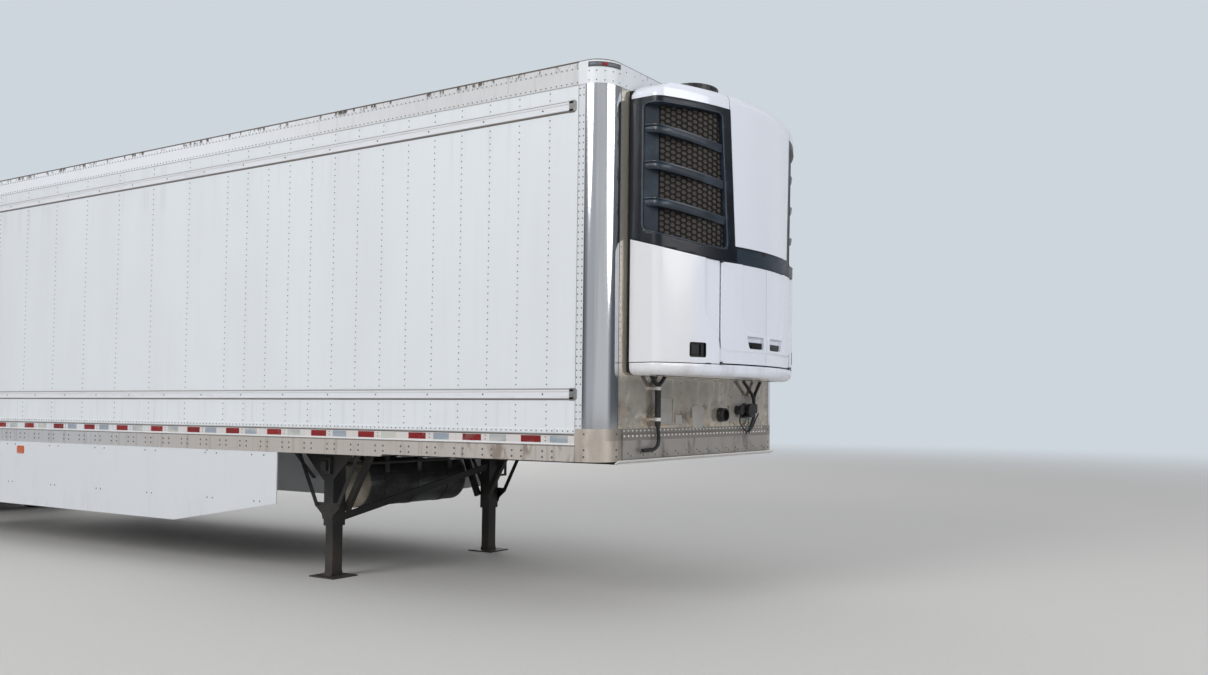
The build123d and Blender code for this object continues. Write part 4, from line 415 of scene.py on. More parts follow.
cast_metal = mottled(
    "rub_rail_caps", 25.0, rgb(150, 150, 149), rgb(112, 110, 108), 0.45, {"Metallic": 0.7}, 140.0, 0.0005
)
CAP_FACES = [(0, 1, 5, 4), (1, 2, 6, 5), (2, 3, 7, 6), (4, 5, 6, 7), (1, 0, 8), (2, 1, 8, 9), (3, 2, 9)]
caps, rub_rivets = [], []
for low, end in ((RUB_LOW, 0.260), (RUB_HIGH, 0.295)):
    x, high = NOSE - end, low + RUB_H
    outline = [(low - 0.003, SIDE), (low + 0.006, HALF), (high - 0.006, HALF), (high + 0.003, SIDE)]
    ring = [(x + out, -y, z) for out in (0.003, -0.040) for z, y in outline]
    caps.append((ring + [(x + 0.026, -SIDE, low + 0.012), (x + 0.026, -SIDE, high - 0.012)], CAP_FACES))
    rub_rivets += [(at, -HALF + 0.004, low + RUB_H / 2) for at in row(x - 0.30, REAR + 0.2, -2 * POST_PITCH)]
piece("rub_rail_caps", *both(*caps), cast_metal, smooth=False, slot="rail_white")
piece("rub_rail_rivets", *both(domes(rub_rivets, (0, -1, 0), 0.008, 0.0035, 8)), rivet_metal_shade_and_dirt, slot="rail_white")


# Reflecting tape: two-inch blocks in turn red and silver on the lower rail's white leg, with small bolt heads
# between them, a rolled bead above, and domed bolts in the plate below where the cross members end.

TAPE_T, TAPE_FOOT, TAPE_TOP = 0.0006, 1.286, 1.336


def slab(x0, x1, y0, y1, z0, z1):
    """A thin block between two corners."""
    corners = [(x, y, z) for x in (x0, x1) for y in (y0, y1) for z in (z0, z1)]
    return corners, [(0, 1, 3, 2), (4, 6, 7, 5), (0, 4, 5, 1), (2, 3, 7, 6), (0, 2, 6, 4), (1, 5, 7, 3)]


def lofted(rings, closed=True, ends=(False, False), around=False, flip=False):
    """A surface through rings of equally many points, with its first and last ring filled where ends says so."""
    count = len(rings[0])
    faces = []
    for k in range(len(rings) if around else len(rings) - 1):
        here, there = k * count, (k + 1) % len(rings) * count
        for i in range(count if closed else count - 1):
            j = (i + 1) % count
            faces.append((here + i, here + j, there + j, there + i))
    if ends[0]:
        faces.append(range(count)[::-1])
    if ends[1]:
        faces.append(range((len(rings) - 1) * count, len(rings) * count))
    return [point for ring in rings for point in ring], [face[::-1] if flip else face for face in faces]


shifts = row(0.0, NOSE - REAR - 0.95, 2 * POST_PITCH)
for name, colour, pale, first, last in (
    ("tape_red", rgb(122, 8, 16), rgb(138, 12, 18), 0.572, 0.770),
    ("tape_silver", rgb(150, 160, 172), rgb(196, 196, 188), 0.311, 0.484),
):
    tape, place = new_material(name)
    shimmer = ramp_up(noise(place, 1.0, 2.0, 0.5, (1.7, 1.0, 8.0)), 0.38, 0.62)
    cells = place.node("TexVoronoi", {"feature": "DISTANCE_TO_EDGE"}, {"Vector": place, "Scale": 260.0})
    worn = ramp_up(noise(place, 9.0, 6.0), 0.56, 0.72)
    finish(
        tape, place, over(0.35 * worn, over(shimmer, colour, pale), DIRT), 0.26 + 0.3 * worn,
        {"Coat Weight": 0.2, "Coat Roughness": 0.15}, cells, 0.0002,
    )
    blocks = [
        slab(NOSE - last - s, NOSE - first - s, -PLATE - TAPE_T, -PLATE + 0.001, TAPE_FOOT, TAPE_TOP)
        for s in shifts
    ]
    piece(name, *both(*blocks), tape, smooth=False, slot="rail_white")

# Painted shade: the bead's lower half is painted dark grey for the shade under its round.
bead_paint, place = new_material("rail_bead")
finish(
    bead_paint, place, over(ramp_up(axis(place, 2), 1.352, 1.346), rgb(196, 194, 192), rgb(104, 100, 98)), 0.4,
    {"Metallic": 0.3}, noise(place, 60.0, stretch=(0.1, 1, 1)), 0.0003,
)
bead_section = (
    (-0.001, 1.340), (0.002, 1.341), (0.0038, 1.345), (0.0042, 1.349), (0.0036, 1.353), (0.002, 1.356),
    (-0.001, 1.357),
)
bead_rings = [[(x, -PLATE - out, z) for out, z in bead_section] for x in (REAR + 0.150, NOSE - 0.252)]
bead_points, bead_sides = lofted(bead_rings, closed=False)
count = len(bead_section)
bead = (bead_points, bead_sides + [range(count), range(2 * count - 1, count - 1, -1)])
piece("rail_beads", *both(bead), bead_paint, slot="rail_white")

bolt_places = []
for s in row(0.2042 + POST_PITCH, NOSE - REAR - 0.3, POST_PITCH):
    bolt_places += [(NOSE - s + dx, -PLATE, z) for dx in (-0.047, 0.047) for z in (1.176, 1.220)]
gap_places = [(FIRST_POST - s, -PLATE, z) for s in shifts for z in (1.298, 1.326)]
bolts = [domes(bolt_places, (0, -1, 0), 0.0095, 0.0045, 8), domes(gap_places, (0, -1, 0), 0.0058)]
piece("rail_bolts", *both(*bolts), rivet_metal_shade_and_dirt, slot="rail_white")


# Nose wall: a bright stainless sheet, faintly quilted by its rivets, with painted reflections in its colour: dark
# blots round 1.5 m up and a warm tint of the ground low down. It stands between quarter-round corner posts rolled
# from the same steel and polished, which throw back the sky and the ground, with upright bands of painted
# reflection in their colour.

wall_steel, place = new_material("nose_wall_steel")
up = axis(place, 2)
quilt = noise(place, 1.0, 3.0, 0.5, (3.0, 4.2, 2.4))
clouded = ramp_up(noise(place, 2.2, 6.0, 0.65, (1.0, 1.0, 0.5)), 0.42, 0.70)
low_wall = ramp_up(up, 1.80, 1.42)
# Painted reflections: dark blots round 1.5 m up and a warm tint on the lower wall stand for the surroundings
# mirrored in the steel.
painted_dark_reflections = ramp_up(noise(place, 1.0, 3.0, 0.5, (4.0, 6.0, 7.0)), 0.46, 0.64) * ramp_up(abs(up - 1.50), 0.14, 0.04)
painted_ground_reflection = ramp_up(noise(place, 1.0, 4.0, 0.5, (4.0, 5.0, 9.0)), 0.38, 0.62) * low_wall
ground_reflection_tint = over(painted_ground_reflection, rgb(230, 222, 208), rgb(216, 198, 178))
inner = ramp_up(axis(place, 0), NOSE - 0.015, NOSE - 0.025)
steel = over(0.55 * painted_dark_reflections, over(0.25 * clouded, ground_reflection_tint, rgb(158, 148, 134)), rgb(96, 93, 90))
finish(
    wall_steel, place, over(inner, steel, WHITE_PAINT), 0.07 + 0.10 * clouded + 0.3 * inner,
    {"Metallic": 0.72 - 0.72 * inner}, (quilt + 0.02 * noise(place, 40.0)) * (1.0 - inner), 0.008,
)
dress(("front_wall",), wall_steel)

post_steel, place = new_material("corner_post_steel")
rolled = noise(place, 1.0, 3.0, 0.5, (9.0, 9.0, 0.30))
flange = ramp_up(axis(place, 0), NOSE - 0.1875, NOSE - 0.1905)
# Painted reflections: the upright light and grey bands in the post's colour stand for the sky and ground mirrored
# in it; the same rolled noise also waves its bump.
painted_reflection_bands = over(ramp_up(rolled, 0.40, 0.66), rgb(226, 227, 229), rgb(196, 199, 203))
finish(
    post_steel, place, over(flange, painted_reflection_bands, rgb(216, 219, 222)), 0.07 + 0.05 * rolled + 0.25 * flange,
    {"Metallic": 1.0 - flange}, rolled, 0.0022,
)
dress(("nose_corners",), post_steel)

dark_joint = mottled("panel_joint", 30.0, rgb(58, 56, 54), rgb(92, 88, 82), 0.75)
seal_lines = (
    slab(NOSE - 0.2525, NOSE - 0.2495, -SIDE - 0.0008, -SIDE + 0.004, SEAM_FOOT, SEAM_TOP),
    slab(NOSE - 0.002, NOSE + 0.0012, -1.1125, -1.1085, SEAM_FOOT, SEAM_TOP),
)
piece("post_joints", *both(*seal_lines), dark_joint, smooth=False, slot="polished_steel")

wall_rivets = [(NOSE, y, z) for y in (-1.093, 1.093) for z in row(1.42, 3.90, RIVET_PITCH)]
wall_rivets += [(NOSE, y, z) for y in (-0.305, 0.305) for z in row(1.44, 1.76, 1.5 * RIVET_PITCH)]
piece("rivets_nose", *domes(wall_rivets, (1, 0, 0), 0.0050), rivet_metal_shade_and_dirt, slot="polished_steel")


# Nose header: a white riveted band over the posts, rounded into the roof and stained along its top edge, with a
# grey cap plate wrapped round each corner that holds a small red clearance lamp.

header_paint, place = new_material("nose_header")
up = axis(place, 2)
blotch = noise(place, 2.6, 6.0, 0.65)
drips = ramp_up(noise(place, 1.0, 5.0, 0.6, (14.0, 14.0, 4.0)), 0.50, 0.64)
stain = ramp_up(up, 4.096, 4.103) | drips * ramp_up(up, 4.05, 4.09) * ramp_up(blotch, 0.40, 0.60)
finish(
    header_paint, place, over(0.9 * stain | 0.08 * blotch, WHITE_PAINT, rgb(80, 66, 54)), 0.38 + 0.3 * stain,
    height=noise(place, 10.0), depth=0.0005,
)
dress(("nose_header",), header_paint)

CORNER_X, CORNER_Y = NOSE - 0.180, 1.110


def round_corner(radius, angle, z):
    """A point round the right-hand nose corner, from 0 on the nose to 90 degrees on the side."""
    turn = radians(angle)
    return (CORNER_X + radius * cos(turn), -CORNER_Y - radius * sin(turn), z)


def corner_heads(radius, angles, z):
    """Places round both nose corners at one height, each with the way it faces."""
    heads = []
    for angle in angles:
        near, out = round_corner(radius, angle, z), np.array([cos(radians(angle)), -sin(radians(angle)), 0.0])
        heads += [(near, out), ((near[0], -near[1], z), out * (1, -1, 1))]
    return heads


plate_paint = mottled(
    "corner_cap_plate", 14.0, rgb(126, 130, 136), rgb(84, 86, 90), 0.5, {"Metallic": 0.4}, 60.0, 0.0006, 6.0
)
plate_section = ((0.184, 4.050), (0.1885, 4.050), (0.1885, 4.086), (0.184, 4.086))
plate_rings = [[round_corner(r, 6 + 78 * k / 14, z) for r, z in plate_section] for k in range(15)]
piece("corner_cap_plates", *both(lofted(plate_rings, ends=(True, True))), plate_paint, slot="rail_white")
header_rivets = [
    ((NOSE + 0.005, y, z), (1, 0, 0)) for y in row(-1.06, 1.06, 2 * RIVET_PITCH) for z in (3.951, 4.052)
]
for z in (3.951, 4.020):
    header_rivets += corner_heads(0.185, (8, 26, 45, 64, 82), z)
piece("rivets_header", *domes(*zip(*header_rivets), 0.0052), rivet_metal_shade_and_dirt, slot="rail_white")


# Nose sill: a brushed aluminium extrusion across the foot of the wall between two cast corners, with a close row
# of bright rivets along its top, bolts into the coupler below and the coupler plate's turned-up front lip.

sill_metal, place = new_material("sill_brushed")
brushed = noise(place, 1.0, 4.0, 0.6, (6.0, 2.0, 260.0))
dark_marks = ramp_up(noise(place, 7.0, 6.0, 0.65, (1.0, 1.0, 0.4)), 0.48, 0.72)
top_band = ramp_up(axis(place, 2), 1.296, 1.306) * ramp_up(axis(place, 0), NOSE - 0.05, NOSE - 0.01)
casting = ramp_up(abs(axis(place, 1)), 1.100, 1.106)
darker_share = 0.45 * top_band | (0.55 - 0.30 * casting) * dark_marks + 0.20 * brushed
finish(
    sill_metal, place, over(darker_share, over(casting, rgb(192, 187, 181), rgb(206, 196, 185)), rgb(84, 77, 71)),
    0.36 + 0.14 * brushed, {"Metallic": 0.75}, brushed, 0.0004,
)
dress(("nose_sill",), sill_metal)

coupler_steel, place = new_material("coupler_plate")
rubbed = ramp_up(noise(place, 5.0, 6.0, 0.7), 0.50, 0.62)
lip = ramp_up(axis(place, 0), NOSE + 0.004, NOSE + 0.016) * ramp_up(axis(place, 2), 1.120, 1.135)
finish(
    coupler_steel, place, over(lip, over(rubbed, rgb(34, 33, 32), rgb(70, 58, 50)), rgb(228, 226, 222)),
    0.62 - 0.25 * lip, {"Metallic": 0.15 + 0.3 * lip}, noise(place, 50.0), 0.0008,
)
dress(("coupler_plate", "kingpin"), coupler_steel)

# Painted highlight: the sill's rivet heads are painted near white, partly bright aluminium and partly the glints
# on their domes.
rivet_painted_glints = mottled(
    "bright_rivets", 60.0, rgb(244, 243, 240), rgb(214, 211, 206), 0.34, {"Metallic": 0.35}, 200.0, 0.0001
)
SILL_X = NOSE + 0.012
top_row = [(SILL_X, y, 1.334) for y in row(-1.045, 1.045, RIVET_PITCH)]
flange_row = [(NOSE + 0.004, y, 1.374) for y in row(-1.040, 1.040, RIVET_PITCH)]
heads = [domes(top_row, (1, 0, 0), 0.0088, 0.0050, 8), domes(flange_row, (1, 0, 0.35), 0.0078)]
piece("sill_rivets", *joined(heads), rivet_painted_glints, slot="brushed_sill")
foot_bolts = [(SILL_X, y + dy, 1.205 - 0.5 * abs(dy)) for y in row(-1.0, 1.0, 0.1525) for dy in (0.0, 0.036)]
corner_bolts = [head for z in (1.186, 1.236, 1.352) for head in corner_heads(0.180, (4, 86), z)]
heads = [domes(foot_bolts, (1, 0, 0), 0.0075), domes(*zip(*corner_bolts), 0.0085, sides=8)]
piece("sill_bolts", *joined(heads), rivet_metal_shade_and_dirt, slot="brushed_sill")


# Refrigeration unit: moulded white panels in a bowed plan, round its corners, on a steel frame that stands on a
# black gasket against the nose wall. s is the distance round the outline from its middle.

SIDES = (("right", -1), ("left", 1))
BOW_R, BOW_X = 1.690, 6.750
BOW_END, EDGE_R, EDGE_END = 1.0613, 0.090, 1.1461
EDGE_X, EDGE_Y = 8.0447, 0.940
BACK_S, DOOR_S, PANEL_S = 1.3418, 0.5573, 0.5676
BAND_Z, PANEL_FOOT, CAP_Z = 2.675, 2.800, 3.857
CORNER_STATIONS = [BOW_END + 0.0085 * k for k in range(11)]


def on_unit(s, depth, z):
    """A point of the unit, s round from its middle (left is plus), that deep behind its outer face."""
    turn = abs(s)
    if turn <= BOW_END:
        x, y = BOW_X + (BOW_R - depth) * cos(turn / BOW_R), (BOW_R - depth) * sin(turn / BOW_R)
    elif turn <= EDGE_END:
        angle = BOW_END / BOW_R + (turn - BOW_END) / EDGE_R
        x, y = EDGE_X + (EDGE_R - depth) * cos(angle), EDGE_Y + (EDGE_R - depth) * sin(angle)
    else:
        x, y = EDGE_X - (turn - EDGE_END), EDGE_Y + EDGE_R - depth
    return (x, y if s > 0 else -y, z)


def band_edge(s):
    """Height of the black band's lower edge, which climbs along the unit's sides."""
    return BAND_Z + 0.264 * max(0.0, 8.340 - on_unit(s, 0, 0)[0])


def wedge_s(z, out=0.0):
    """How far round the upper middle panel's splayed edge lies at a height."""
    return BOW_R * asin((0.411 + 0.0587 * (z - PANEL_FOOT) + out) / BOW_R)


def smooth(value, low, high):
    """0 below low, 1 above high and smooth between."""
    t = min(max((value - low) / (high - low), 0.0), 1.0)
    return t * t * (3 - 2 * t)


def rounded(corners, radius, steps=5, share=0.45):
    """A closed outline with an arc for each corner that isn't nearly straight, on a share of its legs at most."""
    outline = []
    for i, corner in enumerate(corners):
        here = Vector(corner)
        legs = [Vector(corners[k]) - here for k in (i - 1, (i + 1) % len(corners))]
        if legs[0].normalized().dot(legs[1].normalized()) < -0.97:
            outline.append(tuple(corner))
            continue
        start, end = (here + leg.normalized() * min(radius, share * leg.length) for leg in legs)
        for t in [k / steps for k in range(steps + 1)]:
            outline.append(tuple(start * (1 - t) ** 2 + here * 2 * t * (1 - t) + end * t * t))
    return outline


def filled(loops):
    """A flat sheet inside the first closed line, with the others cut out of it."""
    flat = bmesh.new()
    for loop in loops:
        ring = [flat.verts.new((u, v, 0)) for u, v in loop]
        for a, b in zip(ring, ring[1:] + ring[:1]):
            flat.edges.new((a, b))
    bmesh.ops.triangle_fill(flat, use_beauty=True, normal=(0, 0, 1), edges=flat.edges[:])
    return flat


def cut(flat, at, facing):
    """Cut a flat sheet's faces along a line through a point."""
    geom = flat.verts[:] + flat.edges[:] + flat.faces[:]
    bmesh.ops.bisect_plane(flat, geom=geom, dist=1e-5, plane_co=at, plane_no=facing)


def skin(name, outline, holes, depth_at, made, body="trailer", slot="unit_white", thick=0.022, step=0.014):
    """A moulded panel: its flat outline in (s, height) with holes, cut fine, bowed onto the unit and thickened."""
    flat = filled([outline] + holes)
    for i, facing in enumerate(((1, 0, 0), (0, 1, 0))):
        low, high = min(p[i] for p in outline), max(p[i] for p in outline)
        cuts = [low + step * k for k in range(1, int((high - low) / step))]
        if i == 0:
            cuts = [c for c in cuts if not BOW_END < abs(c) < EDGE_END]
            cuts += [sign * s for sign in (-1, 1) for s in CORNER_STATIONS]
        for at in cuts:
            if low + 0.002 < at < high - 0.002:
                cut(flat, [at * part for part in facing], facing)
    for vertex in flat.verts:
        s, z = vertex.co.x, vertex.co.y
        vertex.co = on_unit(s, depth_at(s, z), z)
    bmesh.ops.recalc_face_normals(flat, faces=flat.faces[:])
    middle = sum((f.calc_center_median() for f in flat.faces), Vector()) / len(flat.faces)
    outward = sum((f.calc_center_median() - Vector((BOW_X, 0, middle.z))).dot(f.normal) for f in flat.faces)
    if outward < 0:
        bmesh.ops.reverse_faces(flat, faces=flat.faces[:])
    flat.verts.index_update()
    faces = [[v.index for v in f.verts] for f in flat.faces]
    panel = piece(name, [v.co for v in flat.verts], faces, made, body, slot)
    flat.free()
    wall = panel.modifiers.new("wall", "SOLIDIFY")
    wall.thickness, wall.offset, wall.use_even_offset = thick, -1, True
    edge = panel.modifiers.new("edge", "BEVEL")
    edge.width, edge.segments, edge.limit_method, edge.angle_limit = 0.0022, 2, "ANGLE", radians(50)
    edge.use_clamp_overlap = True
    return panel


unit_paint, place = new_material("unit_white")
dulled = ramp_up(noise(place, 1.0, 6.0, 0.6, (7.0, 7.0, 1.2)), 0.46, 0.74)
# Darker towards the foot: below 1.86 m the white takes more of the brown mottle, along the tray's rounded edge.
darker_low = ramp_up(axis(place, 2), 1.90, 1.86)
white = over(ramp_up(axis(place, 0), 8.18, 8.34), rgb(230, 230, 234), rgb(233, 237, 248))
finish(
    unit_paint, place, over(dulled * (0.03 + 0.26 * darker_low), white, rgb(150, 138, 122)),
    0.20 + 0.06 * dulled, {"Coat Weight": 0.35, "Coat Roughness": 0.08}, noise(place, 24.0), 0.0003,
)
unit_black, place = new_material("unit_black")
haze = ramp_up(noise(place, 6.0, 6.0, 0.6), 0.42, 0.75)
inset = ramp_up(abs(axis(place, 1)), 0.396, 0.390) * ramp_up(axis(place, 2), 2.790, 2.785)
moulded = over(haze, rgb(4, 13, 25), rgb(11, 23, 37))
finish(
    unit_black, place, over(inset, moulded, rgb(38, 50, 62)), 0.33 + 0.12 * haze,
    {"Coat Weight": 0.08, "Coat Roughness": 0.22, "Specular IOR Level": 0.35}, noise(place, 110.0), 0.0002,
)
gasket = mottled("unit_gasket", 12.0, rgb(16, 16, 17), rgb(30, 29, 28), 0.7, bump=90.0)
dress(("unit_frame",), gasket)


# Lower side panels and front doors of the unit: white mouldings with a soft crease that runs down, curves towards
# the doors and carries on across them as a low line. Each side panel has a black latch pocket, each door a handle.

DOOR_FOOT, DOOR_TOP = 1.892, 2.669
GRIP_SPANS = {-1: (0.050, 0.278), 1: (0.044, 0.293)}


def crease_side(s, z):
    """Depth of a side panel: it steps in gently on the door's side of its crease."""
    line = PANEL_S + 0.132 - 0.132 * smooth(z, 2.30, 2.03)
    return 0.0105 * smooth(abs(s), line + 0.009, line - 0.009) * smooth(z, 2.004, 2.026)


def crease_door(s, z):
    """Depth of a door: a low line across its foot and a crease that drops from the top to the handle."""
    low = 1.990 + 0.020 * smooth(abs(s), 0.47, DOOR_S)
    foot = 0.009 * smooth(z, low + 0.006, low - 0.010)
    bend = 0.325 - 0.050 * smooth(z, 2.30, 2.12) - 0.25 * smooth(z, 2.15, 2.112)
    return foot + 0.0105 * smooth(abs(s), bend + 0.006, bend - 0.006) * smooth(z, 2.106, 2.124)


def latch_outline(sign, grow=0.0):
    """The opening round a side panel's latch."""
    s0, s1, z0, z1 = 0.694 - grow, 0.839 + grow, 1.928 - grow, 2.041 + grow
    return rounded([(sign * s, z) for s, z in ((s0, z0), (s1, z0), (s1, z1), (s0, z1))], 0.016)


def grip_outline(sign, grow=0.0):
    """The opening round a door's handle, slanted at its outer end."""
    s0, s1, z0, z1 = GRIP_SPANS[sign][0] - grow, GRIP_SPANS[sign][1] + grow, 2.015 - grow, 2.113 + grow
    return rounded([(sign * s, z) for s, z in ((s0, z1), (s1, z1), (s1 - 0.034, z0), (s0 + 0.004, z0))], 0.014)


for side, sign in SIDES:
    climb = [BACK_S + (PANEL_S - BACK_S) * k / 18 for k in range(19)]
    outline = [(PANEL_S, 1.886), (BACK_S, 1.886)] + [(s, band_edge(s) - 0.003) for s in climb]
    side_panel = skin(
        f"unit_side_panel_{side}", [(sign * s, z) for s, z in outline], [latch_outline(sign)], crease_side,
        unit_paint, step=0.010,
    )
    outline = ((0.003, DOOR_FOOT), (DOOR_S, DOOR_FOOT), (DOOR_S, DOOR_TOP), (0.003, DOOR_TOP))
    door_skin = skin(
        f"unit_door_{side}_skin", [(sign * s, z) for s, z in outline], [grip_outline(sign)], crease_door,
        unit_paint, f"{side}_unit_door", step=0.008,
    )
    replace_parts(door_skin, f"unit_door_{side}")
    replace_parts(side_panel, "unit_side_panels")

latch_black = mottled("latch_black", 20.0, rgb(12, 12, 14), rgb(26, 26, 29), 0.32, bump=160.0, depth=0.0002)
latch_steel = mottled(
    "latch_steel", 40.0, rgb(150, 152, 156), rgb(98, 98, 100), 0.30, {"Metallic": 0.9}, 120.0, 0.0002
)


def cup(outline, depths, made, name, body, slot):
    """A moulded pocket behind a hole: the outline carried inwards and drawn in towards its middle, then closed."""
    mid_s, mid_z = (sum(p[i] for p in outline) / len(outline) for i in (0, 1))
    rings = [
        [on_unit(mid_s + (s - mid_s) * share, depth, mid_z + (z - mid_z) * share) for s, z in outline]
        for depth, share in depths
    ]
    return piece(name, *lofted(rings, ends=(False, True), flip=True), made, body, slot, smooth=False)


def unit_block(s0, s1, d0, d1, z0, z1, steps=4):
    """A block that follows the unit's bow."""
    section = ((d0, z0), (d1, z0), (d1, z1), (d0, z1))
    rings = [[on_unit(s0 + (s1 - s0) * k / steps, d, z) for d, z in section] for k in range(steps + 1)]
    return lofted(rings, ends=(True, True))


def circle(radius, sides, centre=(0.0, 0.0), turn=0.0):
    """Points round a circle."""
    angles = [turn + 2 * pi * i / sides for i in range(sides)]
    return [(centre[0] + radius * cos(a), centre[1] + radius * sin(a)) for a in angles]


for side, sign in SIDES:
    door = f"{side}_unit_door"
    latch_depths = ((0.0012, 1.0), (0.0016, 0.93), (0.020, 0.90))
    cup(latch_outline(sign, 0.001), latch_depths, latch_black, f"latch_pocket_{side}", "trailer", "unit_black")
    parts = [
        unit_block(sign * 0.720, sign * 0.742, 0.002, 0.018, 1.945, 2.026),
        unit_block(sign * 0.752, sign * 0.818, 0.010, 0.019, 1.950, 2.020),
    ]
    parts += [unit_block(sign * s, sign * (s + 0.048), -0.0005, 0.012, 1.880, 1.889) for s in (0.650, 0.522)]
    piece(f"latch_paddle_{side}", *joined(parts), latch_black, "trailer", "unit_black", smooth=False)

    near, far = GRIP_SPANS[sign]
    recess_depths = ((0.004, 1.0), (0.030, 0.94))
    cup(grip_outline(sign, 0.001), recess_depths, unit_paint, f"handle_recess_{side}", door, "unit_white")
    slot = ((near + 0.005, 2.068), (far - 0.021, 2.068), (far - 0.039, 2.019), (near + 0.007, 2.019))
    slot = rounded([(sign * s, z) for s, z in slot], 0.008)
    cup(slot, ((0.0290, 1.0), (0.0150, 0.99)), latch_black, f"handle_pocket_{side}", door, "unit_black")
    lever = joined([
        unit_block(sign * (near + 0.029), sign * (far - 0.061), 0.007, 0.0145, 2.020, 2.034),
        unit_block(sign * (near + 0.041), sign * (far - 0.073), 0.009, 0.0145, 2.034, 2.042),
    ])
    piece(f"handle_lever_{side}", *lever, latch_black, door, "unit_black", smooth=False)

    hinge = (8.3570, sign * 0.550)
    lugs = []
    for low in (DOOR_FOOT, 2.661):
        high = low + 0.008
        section = ((0.009, low), (0.009, high), (0.0045, high), (0.0045, low))
        lugs.append(lofted([[(x, y, z) for x, y in circle(r, 16, hinge)] for r, z in section], around=True))
        lugs.append(slab(8.331, 8.350, sign * 0.5225, sign * 0.5465, low, high))
    piece(f"door_lugs_{side}", *joined(lugs), latch_black, door, "unit_black", smooth=False)
    pins = [
        lofted([[(x, y, z) for x, y in circle(0.0039, 12, hinge)] for z in span], ends=(True, True))
        for span in ((1.884, 1.902), (2.659, 2.674))
    ]
    piece(f"door_pins_{side}", *joined(pins), latch_steel, "trailer", "unit_black", smooth=False)


# Black bezel: one moulding from one side round to the other, with the band under the upper middle panel and a deep
# opening on each side whose lip is painted in a lighter black, as painted light.

BEZEL_STEPS = 60
WINDOW_TOP, WINDOW_BACK, WINDOW_RISE = 3.806, 1.2318, 0.098
arc = [(-BACK_S + 2 * BACK_S * k / BEZEL_STEPS) for k in range(BEZEL_STEPS + 1)]
bezel_outline = [(s, band_edge(s)) for s in arc] + [(BACK_S, CAP_Z - 0.001)]
bezel_outline += [(wedge_s(z, 0.003), z) for z in (CAP_Z - 0.001, 3.60, 3.30, 3.00)]
panel_corner = [(wedge_s(2.9, 0.003), 2.86), (wedge_s(PANEL_FOOT, 0.003), PANEL_FOOT), (0.30, PANEL_FOOT)]
bezel_outline += rounded(panel_corner, 0.012)[6:12]
bezel_outline += [(-s, z) for s, z in reversed(bezel_outline[BEZEL_STEPS + 1 :])]


def window(sign, grow=0.0):
    """The opening of one side, its outline grown by a margin, as (s, height) points."""
    back, top, inset, rise = WINDOW_BACK + grow, WINDOW_TOP + grow, 0.086 - grow, WINDOW_RISE - grow
    foot = [back + (0.66 - back) * k / 8 for k in range(8)]
    corners = [(back, top)] + [(s, band_edge(s) + rise) for s in foot]
    corners += [(wedge_s(2.78, inset), band_edge(0.5) + rise), (wedge_s(WINDOW_TOP, inset), top)]
    outline = rounded(corners, 0.046 + grow * 0.8, 6, 0.9)
    fine = []
    for a, b in zip(outline, outline[1:] + outline[:1]):
        spans = max(1, int(hypot(b[0] - a[0], b[1] - a[1]) / 0.03))
        fine += [(a[0] + (b[0] - a[0]) * k / spans, a[1] + (b[1] - a[1]) * k / spans) for k in range(spans)]
    return [(sign * s, z) for s, z in fine]


def frame_lip(outline, section):
    """A ring round an opening from (outwards, depth) steps, each step a closed line offset from the outline."""
    points = [Vector(p) for p in outline]
    ahead = points[1:] + points[:1]
    along = [(b - a).normalized() for a, b in zip(points[-1:] + points[:-1], ahead)]
    normals = [Vector((way.y, -way.x)) for way in along]
    middle = sum(points, Vector((0, 0))) / len(points)
    flip = 1 if sum((p - middle).dot(n) for p, n in zip(points, normals)) > 0 else -1
    rings = []
    for out, depth in section:
        places = [point + normal * out * flip for point, normal in zip(points, normals)]
        rings.append([on_unit(at.x, depth, at.y) for at in places])
    return lofted(rings)


def swell(s, z):
    """Depth of the bezel: a shallow valley round its outer edge, and a flat set back a little under the cowl."""
    if abs(s) > 1.2:
        return 0.004 * smooth(abs(s), 1.335, 1.300) * smooth(abs(s), 1.240, 1.275)
    return 0.002 * smooth(abs(s), 0.50, 0.45)


bezel = skin(
    "unit_bezel", bezel_outline, [window(-1, 0.012), window(1, 0.012)], swell, unit_black, slot="unit_black",
    thick=0.030, step=0.022,
)
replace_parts(bezel, "unit_grille")
# Painted light: the louvres, window lips and reveals share a black painted lighter and bluer than the bezel's, for
# the light on their faces.
painted_lit_black, place = new_material("painted_lit_black")
worn = ramp_up(noise(place, 5.0, 6.0, 0.6), 0.40, 0.72)
finish(
    painted_lit_black, place, over(worn, rgb(24, 35, 48), rgb(44, 57, 70)), 0.30 + 0.10 * worn,
    {"Coat Weight": 0.12, "Coat Roughness": 0.2}, noise(place, 110.0), 0.0002,
)
lip_section = (
    (0.0125, 0.0010), (0.010, -0.0022), (0.004, -0.0030), (0.000, -0.0015), (-0.001, 0.002), (-0.002, 0.010),
    (-0.003, 0.088),
)
for side, sign in SIDES:
    piece(f"window_lip_{side}", *frame_lip(window(sign), lip_section), painted_lit_black, slot="unit_black")
for side, sign in SIDES:
    seam = unit_block(sign * 0.485, sign * 0.4865, -0.0006, 0.004, CAP_Z, CAP_Z + 0.026, 1)
    piece(f"cowl_seam_{side}", *seam, gasket, slot="unit_black", smooth=False)

line_section = ((0.0025, -0.003), (0.0002, -0.001), (0.0002, 0.001), (0.0025, 0.003))
rings = []
for s in np.linspace(-0.395, 0.395, 80):
    z = 2.782 - 0.030 * smooth(abs(s), 0.37, 0.31)
    rings.append([on_unit(s, depth, z + dz) for depth, dz in line_section])
piece("band_line", *lofted(rings, closed=False), unit_black, slot="unit_black")
notch = unit_block(-0.075, -0.040, 0.0004, 0.004, 2.770, PANEL_FOOT)
piece("band_notch", *notch, gasket, slot="unit_black", smooth=False)


